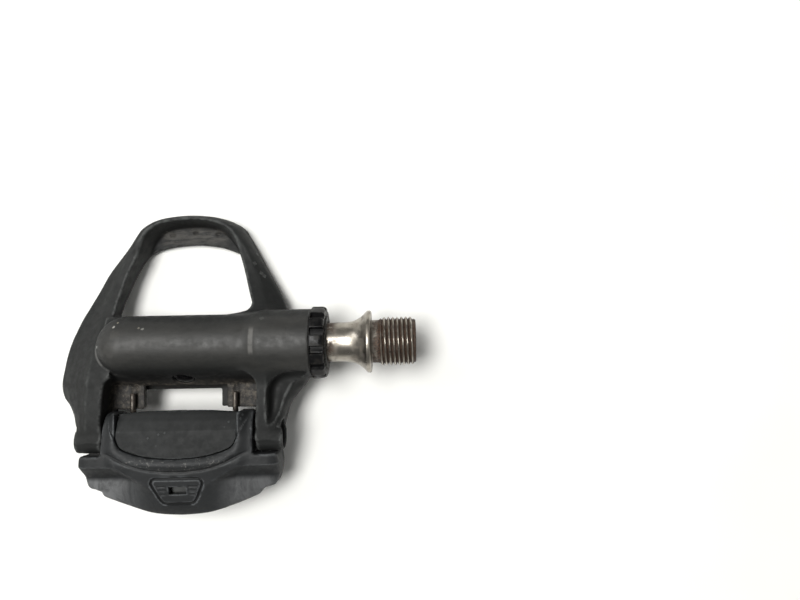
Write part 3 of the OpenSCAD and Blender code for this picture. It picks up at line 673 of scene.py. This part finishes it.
# round label: domed disc with a fine raised rim
def label_piece():
    prof = [(0.15, 0.0), (2.9, 0.0), (3.0, 0.08), (3.0, 0.34), (2.92, 0.44), (2.8, 0.46), (2.66, 0.42), (2.56, 0.34), (2.44, 0.38), (2.2, 0.47), (1.5, 0.53), (0.7, 0.56), (0.05, 0.565)]
    n = 96
    th = np.arange(n) * 2 * math.pi / n
    ang = math.radians(58.4)
    co = []
    for r, z in prof:
        lx, ly, lz = r * np.cos(th), r * np.sin(th), np.full(n, z - 0.48)
        co.append(np.stack([CX + 0.6 + lx, -9.8 + ly * math.cos(ang) - lz * math.sin(ang), -0.5 + ly * math.sin(ang) + lz * math.cos(ang)], 1))
    co = np.concatenate(co)
    j = np.arange(n)
    k = (j + 1) % n
    faces = np.concatenate([np.stack([i * n + j, i * n + k, (i + 1) * n + k, (i + 1) * n + j], 1) for i in range(len(prof) - 1)])
    o = make_mesh("round_inlay", co, faces, sharp=40)
    import bmesh
    bm = bmesh.new()
    bm.from_mesh(o.data)
    bm.verts.ensure_lookup_table()
    bm.faces.new([bm.verts[q] for q in reversed(range(n))])
    bm.faces.new([bm.verts[(len(prof) - 1) * n + q] for q in range(n)])
    bmesh.ops.recalc_face_normals(bm, faces=bm.faces)
    bm.to_mesh(o.data)
    bm.free()
    o.data.set_sharp_from_angle(angle=math.radians(40))
    return o


label = label_piece()


# torsion springs: one smooth wire each
def spring_piece(name, side):
    x0, x1, R, coils, seg = 5.4, 15.2, 3.45, 5, 40
    path = list(map(tuple, spline([(x0, -11.4, -1.9), (x0, -9.0, -2.3), (x0, -6.0, -2.85), (x0, -3.0, -3.3)], 6)))
    for i in range(coils * seg + 1):
        a = 2 * math.pi * i / seg
        path.append((x0 + (x1 - x0) * i / (coils * seg), R * math.sin(a), -R * math.cos(a)))
    path += list(map(tuple, spline([(x1, 2.2, -3.35), (x1, 4.2, -2.95), (x1, 5.8, -2.45), (x1, 8.6, -1.58), (x1, 11.0, -1.5), (x1, 13.0, -1.5)], 6)))
    p = np.array(path)
    t = np.gradient(p, axis=0)
    t /= np.linalg.norm(t, axis=1, keepdims=True)
    a = np.array([1.0, 0, 0])[None, :] - t * t[:, :1]
    a /= np.linalg.norm(a, axis=1, keepdims=True)
    b = np.cross(t, a)
    n = 20
    th = np.arange(n) * 2 * math.pi / n
    r = 0.8
    rings = p[:, None, :] + r * (a[:, None, :] * np.cos(th)[None, :, None] + b[:, None, :] * np.sin(th)[None, :, None])
    m = len(p)
    ends = []
    for e, s in ((0, -1), (m - 1, 1)):
        ends.append(p[e] + t[e] * s * 0.14 + 0.66 * (a[e] * np.cos(th)[:, None] + b[e] * np.sin(th)[:, None]))
    co = np.concatenate([ends[0][None], rings, ends[1][None]]).reshape(-1, 3)
    co[:, 0] *= side
    co += np.array([CX, PIN_Y, PIN_Z])
    j = np.arange(n)
    k = (j + 1) % n
    faces = np.concatenate([np.stack([i * n + j, i * n + k, (i + 1) * n + k, (i + 1) * n + j], 1) for i in range(m + 1)])
    o = make_mesh(name, co, faces, sharp=45)
    import bmesh
    bm = bmesh.new()
    bm.from_mesh(o.data)
    bm.verts.ensure_lookup_table()
    bm.faces.new([bm.verts[q] for q in range(n)])
    bm.faces.new([bm.verts[(m + 1) * n + q] for q in reversed(range(n))])
    bmesh.ops.recalc_face_normals(bm, faces=bm.faces)
    bm.to_mesh(o.data)
    bm.free()
    o.data.set_sharp_from_angle(angle=math.radians(45))
    return o


spring_r = spring_piece("right_wire", 1)
spring_l = spring_piece("left_wire", -1)

# ------------------------------------------------------------------ materials


class Mat:
    """A small helper for node materials."""

    def __init__(self, name):
        self.m = bpy.data.materials.new(name)
        self.m.use_nodes = True
        self.t = self.m.node_tree
        self.t.nodes.clear()
        self.out = self.t.nodes.new("ShaderNodeOutputMaterial")
        self.b = self.t.nodes.new("ShaderNodeBsdfPrincipled")
        self.t.links.new(self.b.outputs[0], self.out.inputs[0])
        self.geo = self.t.nodes.new("ShaderNodeNewGeometry")
        self.tc = self.t.nodes.new("ShaderNodeTexCoord")
        self.pos = self.tc.outputs["Object"]

    def node(self, kind, **kw):
        n = self.t.nodes.new(kind)
        for k, v in kw.items():
            setattr(n, k, v)
        return n

    def link(self, a, b):
        self.t.links.new(a, b)

    def noise(self, scale, detail=3.0, rough=0.55, stretch=None, dist=0.0):
        n = self.node("ShaderNodeTexNoise")
        n.inputs["Scale"].default_value = scale
        n.inputs["Detail"].default_value = detail
        n.inputs["Roughness"].default_value = rough
        n.inputs["Distortion"].default_value = dist
        src = self.pos
        if stretch is not None:
            mp = self.node("ShaderNodeMapping")
            mp.inputs["Scale"].default_value = stretch
            self.link(src, mp.inputs["Vector"])
            src = mp.outputs[0]
        self.link(src, n.inputs["Vector"])
        return n.outputs["Fac"]

    def ramp(self, fac, stops):
        r = self.node("ShaderNodeValToRGB")
        while len(r.color_ramp.elements) < len(stops):
            r.color_ramp.elements.new(0.5)
        for e, (p, c) in zip(r.color_ramp.elements, stops):
            e.position = p
            e.color = (*c, 1) if len(c) == 3 else c
        self.link(fac, r.inputs[0])
        return r.outputs[0]

    def level(self, fac, a, b, lo=0.0, hi=1.0):
        n = self.node("ShaderNodeMapRange")
        n.interpolation_type = "SMOOTHSTEP"
        for k, v in (("From Min", a), ("From Max", b), ("To Min", lo), ("To Max", hi)):
            n.inputs[k].default_value = v
        self.link(fac, n.inputs["Value"])
        return n.outputs[0]

    def mix(self, fac, a, b, mode="MIX"):
        n = self.node("ShaderNodeMix", data_type="RGBA", blend_type=mode)
        for sock, v in ((n.inputs[0], fac), (n.inputs[6], a), (n.inputs[7], b)):
            if hasattr(v, "is_output"):
                self.link(v, sock)
            elif isinstance(v, (int, float)):
                sock.default_value = v
            else:
                sock.default_value = (*v, 1)
        return n.outputs[2]

    def math(self, op, a, b=None, c=None, clamp=False):
        n = self.node("ShaderNodeMath", operation=op, use_clamp=clamp)
        for sock, v in zip(n.inputs, (a, b, c)):
            if v is None:
                continue
            if hasattr(v, "is_output"):
                self.link(v, sock)
            else:
                sock.default_value = v
        return n.outputs[0]

    def bump(self, height, dist, strength=1.0, base=None):
        n = self.node("ShaderNodeBump")
        n.inputs["Strength"].default_value = strength
        n.inputs["Distance"].default_value = dist
        self.link(height, n.inputs["Height"])
        if base is not None:
            self.link(base, n.inputs["Normal"])
        return n.outputs[0]

    def coord(self, axis):
        s = self.node("ShaderNodeSeparateXYZ")
        self.link(self.pos, s.inputs[0])
        return s.outputs["XYZ".index(axis)]


def resin(name, dark, light, rough=(0.42, 0.6), colour_layer=None, edge_wear_and_highlight=0.7, edge=(0.503, 0.538), spec=0.5):
    m = Mat(name)
    big = m.noise(60, 4, 0.6)
    mid = m.noise(420, 4, 0.65)
    fine = m.noise(2600, 2, 0.6)
    col = m.mix(m.level(big, 0.32, 0.68), dark, light)
    # fibre flecks in the resin
    fleck = m.level(fine, 0.60, 0.74)
    col = m.mix(m.math("MULTIPLY", fleck, 0.25), col, tuple(min(1, 2.1 * c) for c in light))
    # worn, paler edges: partly real wear, partly a painted highlight along crests and rims
    edges = m.level(m.geo.outputs["Pointiness"], edge[0], edge[1])
    worn_and_lit_edges = m.math("MULTIPLY", edges, m.level(mid, 0.34, 0.60))
    col = m.mix(m.math("MULTIPLY", worn_and_lit_edges, edge_wear_and_highlight), col, tuple(min(1, 4.0 * c + 0.035) for c in light))
    # dusty scuffs
    scuff = m.noise(260, 5, 0.7, stretch=(1.0, 0.35, 1.0), dist=0.6)
    sc = m.math("MULTIPLY", m.level(scuff, 0.60, 0.74), m.level(big, 0.42, 0.62))
    col = m.mix(m.math("MULTIPLY", sc, 0.30), col, tuple(min(1, 2.6 * c + 0.01) for c in light))
    # painted shade: hollows and creases darkened nearly to black
    pits = m.level(m.geo.outputs["Pointiness"], 0.49, 0.44)
    col = m.mix(m.math("MULTIPLY", pits, 0.5), col, (0.010, 0.0095, 0.009))
    if colour_layer is not None:
        col = colour_layer(m, col, mid, fine)
    m.link(col, m.b.inputs["Base Color"])
    r = m.math("ADD", m.level(mid, 0.3, 0.7, rough[0], rough[1]), m.math("MULTIPLY", sc, 0.10))
    if colour_layer is body_dirt_and_painted_light:
        # polished along the top of the tube
        z, y = m.coord("Z"), m.coord("Y")
        pol = m.math("MULTIPLY", m.level(z, 0.0046, 0.0080), m.math("MULTIPLY", m.level(y, -0.0095, -0.0070), m.level(y, 0.0095, 0.0070)))
        r = m.math("SUBTRACT", r, m.math("MULTIPLY", pol, 0.18))
    m.link(r, m.b.inputs["Roughness"])
    m.b.inputs["Specular IOR Level"].default_value = spec
    n1 = m.bump(fine, 0.00005, 0.35)
    n2 = m.bump(mid, 0.00008, 0.30, n1)
    scratch = m.noise(900, 2, 0.5, stretch=(0.08, 1.0, 1.0), dist=0.3)
    n3 = m.bump(m.level(scratch, 0.66, 0.72), 0.00003, 0.25, n2)
    m.link(n3, m.b.inputs["Normal"])
    return m.m


def body_dirt_and_painted_light(m, col, mid, fine):
    """Brown dust on the spring blocks and in the bay behind the tube, painted shade over the bay between the arms, pale
    scuffs on the lip ledge, and painted highlights on the tube and the dome.
    """
    x, y, z = m.coord("X"), m.coord("Y"), m.coord("Z")
    # painted shade: the bay between the arms and under the tube is darkened almost to black
    inner = m.math("MULTIPLY", m.level(x, -0.0792, -0.0772), m.level(x, -0.0326, -0.0340))
    inner = m.math("MULTIPLY", inner, m.math("MULTIPLY", m.level(y, -0.0270, -0.0240), m.level(y, -0.0066, -0.0082)))
    inner = m.math("MULTIPLY", inner, m.level(z, 0.0042, 0.0024))
    col = m.mix(m.math("MULTIPLY", inner, m.level(mid, 0.25, 0.7, 0.80, 0.45)), col, (0.0045, 0.0045, 0.0045))
    bay = m.math("MULTIPLY", m.level(y, -0.0205, -0.0180), m.level(y, -0.0090, -0.0115))
    bay = m.math("MULTIPLY", bay, m.level(z, 0.0005, -0.0025))
    bay = m.math("MULTIPLY", bay, m.math("MULTIPLY", m.level(x, -0.0788, -0.0780), m.level(x, -0.0332, -0.0340)))
    bay = m.math("MULTIPLY", bay, m.level(z, -0.0075, -0.0045))
    sp = m.noise(700, 5, 0.7)
    dust = m.mix(m.level(sp, 0.42, 0.68), (0.016, 0.0145, 0.013), (0.085, 0.074, 0.060))
    dust = m.mix(m.level(fine, 0.64, 0.74), dust, (0.22, 0.195, 0.16))
    col = m.mix(m.math("MULTIPLY", bay, m.level(mid, 0.30, 0.52, 0.45, 0.95)), col, dust)
    # ledge of the toe lip, rubbed by cleats
    led = m.math("MULTIPLY", m.level(y, 0.0300, 0.0325), m.level(y, 0.0375, 0.0355))
    led = m.math("MULTIPLY", led, m.level(z, -0.0098, -0.0108))
    led = m.math("MULTIPLY", led, m.level(z, -0.0127, -0.0120))
    led = m.math("MULTIPLY", led, m.math("MULTIPLY", m.level(x, -0.0672, -0.0655), m.level(x, -0.0448, -0.0465)))
    st = m.noise(520, 5, 0.7, stretch=(0.35, 1.6, 1.0), dist=0.8)
    col = m.mix(m.math("MULTIPLY", led, m.level(st, 0.38, 0.62, 0.10, 0.75)), col, (0.070, 0.066, 0.059))
    # dust specks and dabs near the dome end, one pale patch that is partly rub wear and partly a painted highlight, and
    # a painted highlight along the dome's thin rim
    wob = m.noise(900, 3, 0.6)

    def dab(cx_, cy_, cz_, r_, amount, colour, base, warp=0.0006):
        dx, dy, dz = (m.math("SUBTRACT", q, v) for q, v in ((x, cx_), (y, cy_), (z, cz_)))
        d2 = m.math("ADD", m.math("ADD", m.math("MULTIPLY", dx, dx), m.math("MULTIPLY", dy, dy)), m.math("MULTIPLY", dz, dz))
        d = m.math("ADD", m.math("SQRT", d2), m.math("MULTIPLY", m.math("SUBTRACT", wob, 0.5), warp * 2))
        return m.mix(m.math("MULTIPLY", m.level(d, r_, r_ * 0.55), amount), base, colour)
    # one pale patch on the dome, partly rub wear and partly a painted highlight
    col = dab(-0.0729, -0.0012, 0.0087, 0.0026, 0.75, (0.115, 0.112, 0.105), col, 0.0012)
    col = dab(-0.0729, 0.0054, 0.0067, 0.0005, 0.8, (0.62, 0.60, 0.55), col)
    col = dab(-0.0721, 0.0066, 0.0056, 0.00035, 0.6, (0.50, 0.46, 0.36), col)
    col = dab(-0.0644, 0.0047, 0.0073, 0.00045, 0.7, (0.52, 0.52, 0.48), col)
    col = dab(-0.0655, 0.0050, 0.0071, 0.0003, 0.6, (0.45, 0.42, 0.34), col)
    col = dab(-0.0780, -0.0002, 0.0055, 0.0004, 0.8, (0.5, 0.5, 0.48), col)
    col = dab(-0.0716, 0.0030, 0.0081, 0.0019, 0.30, (0.09, 0.082, 0.062), col, 0.0022)
    # painted highlight: a thin pale line round the rim of the dome end
    ex = m.math("ADD", x, 0.0714)
    er = m.math("SQRT", m.math("ADD", m.math("ADD", m.math("MULTIPLY", ex, ex), m.math("MULTIPLY", y, y)), m.math("MULTIPLY", z, z)))
    dome_rim_highlight = m.math("MULTIPLY", m.level(er, 0.00870, 0.00885), m.level(er, 0.00945, 0.00915))
    dome_rim_highlight = m.math("MULTIPLY", m.math("MULTIPLY", dome_rim_highlight, m.level(x, -0.0700, -0.0720)), m.level(z, -0.0005, 0.0010))
    col = m.mix(m.math("MULTIPLY", dome_rim_highlight, m.level(m.noise(230, 3, 0.6), 0.34, 0.62, 0.10, 0.85)), col, (0.100, 0.100, 0.096))
    # painted highlight along the top of the tube, partly also rub wear from shoes
    tube_top_highlight = m.math("MULTIPLY", m.level(z, 0.0042, 0.0082), m.math("MULTIPLY", m.level(y, -0.0095, -0.0070), m.level(y, 0.0095, 0.0070)))
    col = m.mix(m.math("MULTIPLY", tube_top_highlight, m.level(m.noise(210, 5, 0.7, stretch=(0.4, 1.3, 1.0)), 0.25, 0.72, 0.45, 1.0)), col, (0.034, 0.0335, 0.031))
    # painted highlight: pale bands on the tube where it widens
    tube = m.level(z, 0.0045, 0.0065)
    span = m.math("MULTIPLY", m.level(y, -0.0034, -0.0018), m.level(y, 0.0052, 0.0036))
    flare_highlight = m.math("MULTIPLY", m.level(x, -0.0344, -0.0339), m.level(x, -0.0325, -0.0330))
    flare_highlight = m.math("MULTIPLY", m.math("MULTIPLY", flare_highlight, m.math("MULTIPLY", tube, span)), m.level(m.noise(300, 4, 0.7), 0.28, 0.56))
    col = m.mix(m.math("MULTIPLY", flare_highlight, 0.50), col, (0.17, 0.165, 0.155))
    line = m.math("MULTIPLY", m.level(x, -0.02380, -0.02365), m.level(x, -0.02335, -0.02350))
    line = m.math("MULTIPLY", m.math("MULTIPLY", line, m.math("MULTIPLY", tube, span)), m.level(m.noise(160, 2, 0.5), 0.40, 0.48))
    col = m.mix(m.math("MULTIPLY", line, 0.8), col, (0.006, 0.006, 0.006))
    return col


def claw_scuffs(m, col, mid, fine):
    """Pale rubbing on the low skirts, most at the left corner, and along the rounded ridge."""
    x, y, z = m.coord("X"), m.coord("Y"), m.coord("Z")
    st = m.noise(330, 5, 0.7, stretch=(1.0, 0.45, 1.0), dist=0.7)
    skirt = m.math("MULTIPLY", m.level(y, -0.0378, -0.0396), m.level(z, -0.0030, -0.0012))
    left = m.level(x, -0.0640, -0.0790)
    right = m.level(x, -0.0480, -0.0380, 0.0, 0.55)
    amt = m.math("MULTIPLY", m.math("MULTIPLY", skirt, m.math("MAXIMUM", left, right)), m.level(st, 0.30, 0.66, 0.30, 1.0))
    col = m.mix(m.math("MULTIPLY", amt, 0.80), col, (0.160, 0.163, 0.166))
    # speckle along the ridge behind the cover
    ridge = m.math("MULTIPLY", m.level(z, 0.0046, 0.0054), m.level(y, -0.0310, -0.0325))
    sp = m.level(m.noise(1300, 3, 0.7), 0.56, 0.66)
    col = m.mix(m.math("MULTIPLY", m.math("MULTIPLY", ridge, sp), 0.55), col, (0.16, 0.155, 0.145))
    return col


mat_body = resin("resin_body", (0.0066, 0.0072, 0.0070), (0.0120, 0.0128, 0.0123), rough=(0.60, 0.76), colour_layer=body_dirt_and_painted_light, spec=0.33)
mat_claw = resin("resin_claw", (0.0080, 0.0089, 0.0095), (0.0150, 0.0164, 0.0174), rough=(0.56, 0.74), colour_layer=claw_scuffs, spec=0.39)
mat_cover = resin("resin_cover", (0.0064, 0.0073, 0.0073), (0.0110, 0.0121, 0.0122), rough=(0.58, 0.70), edge_wear_and_highlight=0.35, spec=0.28)


def gloss_black(name, base, rough, dirt, spec):
    m = Mat(name)
    mid = m.noise(500, 4, 0.65)
    fine = m.noise(1800, 3, 0.6)
    col = m.mix(m.level(mid, 0.35, 0.7), base, tuple(c * 1.7 for c in base))
    edges = m.level(m.geo.outputs["Pointiness"], 0.53, 0.60)
    col = m.mix(m.math("MULTIPLY", m.math("MULTIPLY", edges, m.level(fine, 0.35, 0.6)), 0.45), col, (0.16, 0.155, 0.145))
    d = m.math("MULTIPLY", m.level(mid, 0.52, 0.66), dirt)
    col = m.mix(d, col, (0.085, 0.072, 0.056))
    m.link(col, m.b.inputs["Base Color"])
    m.link(m.level(mid, 0.3, 0.7, rough[0], rough[1]), m.b.inputs["Roughness"])
    m.b.inputs["Specular IOR Level"].default_value = spec
    m.link(m.bump(fine, 0.00004, 0.3, m.bump(mid, 0.00012, 0.35)), m.b.inputs["Normal"])
    return m.m


mat_ring = gloss_black("gloss_ring", (0.0026, 0.0026, 0.0029), (0.26, 0.55), 0.12, 0.22)
mat_label = gloss_black("gloss_label", (0.0030, 0.0030, 0.0034), (0.12, 0.26), 0.05, 0.35)
mat_rubber = gloss_black("seal_rubber", (0.010, 0.010, 0.010), (0.45, 0.65), 0.4, 0.4)


def metal(name, base, tint, rough, rust=0.0, rust_where=None, turned=True):
    m = Mat(name)
    mid = m.noise(380, 5, 0.65)
    fine = m.noise(2200, 3, 0.6)
    lines = m.noise(1500, 2, 0.5, stretch=(1.0, 0.02, 0.02)) if turned else m.noise(900, 3, 0.6, stretch=(0.15, 1.0, 1.0))
    col = m.mix(m.level(mid, 0.3, 0.7), base, tint)
    col = m.mix(m.level(lines, 0.40, 0.62, 0.0, 0.22), col, tuple(c * 0.62 for c in base))
    amount = None
    if rust > 0:
        blot = m.level(mid, 0.60 - 0.22 * rust, 0.74 - 0.16 * rust)
        pits = m.level(m.geo.outputs["Pointiness"], 0.485, 0.44)
        amount = m.math("MAXIMUM", m.math("MULTIPLY", blot, 0.75 * rust), m.math("MULTIPLY", pits, min(1.0, 0.55 + rust)))
        if rust_where is not None:
            amount = m.math("MAXIMUM", amount, rust_where(m, mid, fine))
        rc = m.mix(m.level(fine, 0.35, 0.65), (0.014, 0.0080, 0.0052), (0.078, 0.042, 0.024))
        col = m.mix(amount, col, rc)
        metallic = m.math("SUBTRACT", 1.0, m.math("MULTIPLY", amount, 0.85), clamp=True)
        m.link(metallic, m.b.inputs["Metallic"])
    else:
        m.b.inputs["Metallic"].default_value = 1.0
    m.link(col, m.b.inputs["Base Color"])
    r = m.level(mid, 0.3, 0.7, rough[0], rough[1])
    if amount is not None:
        r = m.math("ADD", r, m.math("MULTIPLY", amount, 0.35), clamp=True)
    m.link(r, m.b.inputs["Roughness"])
    m.link(m.bump(fine, 0.00003, 0.25, m.bump(lines, 0.00004, 0.35)), m.b.inputs["Normal"])
    return m.m


def spindle_rust(m, mid, fine):
    x = m.coord("X")
    neck = m.math("MULTIPLY", m.level(x, -0.0088, -0.0116), m.level(m.noise(300, 4, 0.7), 0.36, 0.54))
    flare = m.math("MULTIPLY", m.math("MULTIPLY", m.level(x, -0.0062, -0.0040), m.level(x, -0.0012, -0.0026)), m.level(m.noise(260, 4, 0.7), 0.50, 0.66))
    root = m.math("MULTIPLY", m.level(x, 0.0001, 0.0006), m.level(x, 0.0030, 0.0022))
    root = m.math("MULTIPLY", root, m.level(m.noise(420, 3, 0.6), 0.36, 0.56))
    y, z = m.coord("Y"), m.coord("Z")
    rad = m.math("SQRT", m.math("ADD", m.math("MULTIPLY", y, y), m.math("MULTIPLY", z, z)))
    groove = m.math("MULTIPLY", m.math("MULTIPLY", m.level(rad, 0.00702, 0.00674), m.level(rad, 0.0052, 0.0056)), m.level(x, 0.0010, 0.0022))
    groove = m.math("MULTIPLY", groove, m.level(m.noise(350, 4, 0.65), 0.20, 0.50, 0.70, 1.0))
    root = m.math("MULTIPLY", root, m.level(rad, 0.0080, 0.0072))
    return m.math("MAXIMUM", m.math("MAXIMUM", m.math("MULTIPLY", neck, 0.9), groove), m.math("MAXIMUM", m.math("MULTIPLY", flare, 0.4), m.math("MULTIPLY", root, 0.9)))


mat_spindle = metal("turned_spindle", (0.40, 0.37, 0.325), (0.30, 0.275, 0.235), (0.26, 0.40), rust=0.40, rust_where=spindle_rust)
mat_bearing = metal("bearing_steel", (0.70, 0.70, 0.71), (0.62, 0.62, 0.63), (0.10, 0.18))
mat_nut = metal("nut_steel", (0.50, 0.48, 0.45), (0.42, 0.40, 0.38), (0.24, 0.36), rust=0.15)
mat_spring = metal("spring_wire", (0.12, 0.108, 0.095), (0.075, 0.067, 0.058), (0.42, 0.62), rust=0.7, turned=False)
mat_plate = metal("rubbed_plate", (0.58, 0.58, 0.58), (0.50, 0.50, 0.49), (0.22, 0.38), turned=False)
mat_sleeve = metal("sleeve_alloy", (0.58, 0.59, 0.61), (0.52, 0.53, 0.55), (0.26, 0.36))
mat_bolt = metal("bolt_steel", (0.40, 0.385, 0.36), (0.30, 0.285, 0.265), (0.26, 0.42), rust=0.35, turned=False)
mat_bush = resin("bush_resin", (0.10, 0.085, 0.065), (0.14, 0.12, 0.09), rough=(0.4, 0.55), edge_wear_and_highlight=0.2)
mat_indicator = resin("indicator_resin", (0.030, 0.032, 0.032), (0.055, 0.057, 0.056), rough=(0.5, 0.65), edge_wear_and_highlight=0.1)


def dress(o, mat):
    o.data.materials.clear()
    o.data.materials.append(mat)


for o, mt in ((body, mat_body), (claw, mat_claw), (cover, mat_cover), (spindle, mat_spindle), (ring, mat_ring), (label, mat_label), (spring_r, mat_spring), (spring_l, mat_spring)):
    dress(o, mt)
cad_mats = {
    "body_plate": mat_plate, "plate_screws": mat_plate, "dust_seal": mat_rubber, "bearing_sleeve": mat_sleeve, "crank_bushing": mat_bush,
    "needle_shell": mat_bearing, "needle_rollers": mat_bearing, "bearing_cup": mat_bearing, "inner_balls": mat_bearing, "outer_balls": mat_bearing,
    "bearing_cone": mat_bearing, "lock_washer": mat_bearing, "lock_nut": mat_nut, "pivot_pin": mat_bearing, "spring_plate": mat_bolt,
    "tension_indicator": mat_indicator, "tension_bolt": mat_bolt}
for n, mt in cad_mats.items():
    o = nodes[n]
    if len(o.material_slots) == 0:
        o.data.materials.append(mt)
    for s in o.material_slots:
        s.material = mt

for o, node, b, slot in ((body, "pedal_body", "pedal", "resin"), (claw, "rear_claw", "claw", "resin"), (cover, "spring_cover", "claw", "cover_resin"),
                         (spindle, "spindle", "spindle_unit", "spindle_steel"), (ring, "lock_ring", "pedal", "gloss_resin"), (label, "round_label", "pedal", "label"),
                         (spring_r, "right_spring", "pedal", "spring_steel"), (spring_l, "left_spring", "pedal", "spring_steel")):
    if o in (spring_r, spring_l):
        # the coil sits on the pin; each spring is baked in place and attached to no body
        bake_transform(o)
    else:
        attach(o, b)
    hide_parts(node)

# ------------------------------------------------------------------ floor, light, camera

FLOOR = -14.52
fm = bpy.data.meshes.new("floor")
S = 1.6
fm.from_pydata([(-S, -S, FLOOR * MM), (S, -S, FLOOR * MM), (S, S, FLOOR * MM), (-S, S, FLOOR * MM)], [], [(0, 1, 2, 3)])
floor = bpy.data.objects.new("floor", fm)
bpy.context.scene.collection.objects.link(floor)
m = Mat("white_sheet")
n = m.noise(14, 3, 0.5)
m.link(m.mix(m.level(n, 0.3, 0.7), (0.86, 0.86, 0.835), (0.90, 0.90, 0.875)), m.b.inputs["Base Color"])
m.b.inputs["Roughness"].default_value = 0.7
m.b.inputs["Specular IOR Level"].default_value = 0.2
fm.materials.append(m.m)


def area(name, loc, target, size, power, color=(1, 1, 1), size_y=None):
    l = bpy.data.lights.new(name, "AREA")
    l.energy = power
    l.color = color
    l.shape = "RECTANGLE"
    l.size = size
    l.size_y = size_y or size
    o = bpy.data.objects.new(name, l)
    o.location = loc
    d = Vector(target) - Vector(loc)
    o.rotation_euler = d.to_track_quat("-Z", "Y").to_euler()
    bpy.context.scene.collection.objects.link(o)
    return o


area("ceiling_light", (-0.30, 0.10, 1.0), (-0.03, 0, 0), 0.66, 12.3, (1.0, 0.995, 0.98), 0.40)
area("window_light", (-0.80, 0.50, 0.72), (-0.03, 0, 0), 0.6, 3.6, (1.0, 1.0, 0.99), 0.5)
area("fill_light", (0.9, -0.3, 0.9), (-0.03, 0, 0), 0.8, 0.8, (1.0, 1.0, 1.0))
w = bpy.data.worlds.new("world")
bpy.context.scene.world = w
w.use_nodes = True
bg = w.node_tree.nodes["Background"]
bg.inputs[0].default_value = (1.0, 1.0, 0.985, 1)
bg.inputs[1].default_value = 0.18

cam = bpy.data.cameras.new("camera")
cam.lens = 27.0
cam.sensor_width = 36.0
cam.sensor_fit = "HORIZONTAL"
cam.clip_start = 0.01
co_ = bpy.data.objects.new("camera", cam)
tilt, roll = math.radians(3.5), math.radians(1.1)
d = np.array([0, math.sin(tilt), -math.cos(tilt)])
r0 = np.array([1.0, 0, 0])
u0 = np.cross(r0, d)
r = math.cos(roll) * r0 - math.sin(roll) * u0
u = math.sin(roll) * r0 + math.cos(roll) * u0
from mathutils import Matrix
M = Matrix(((r[0], u[0], -d[0], 0.00862), (r[1], u[1], -d[1], 0.00119), (r[2], u[2], -d[2], 0.1770), (0, 0, 0, 1)))
co_.matrix_world = M
bpy.context.scene.collection.objects.link(co_)
bpy.context.scene.camera = co_
sc = bpy.context.scene
sc.view_settings.view_transform = "Standard"
sc.view_settings.look = "None"
sc.view_settings.exposure = 0.0
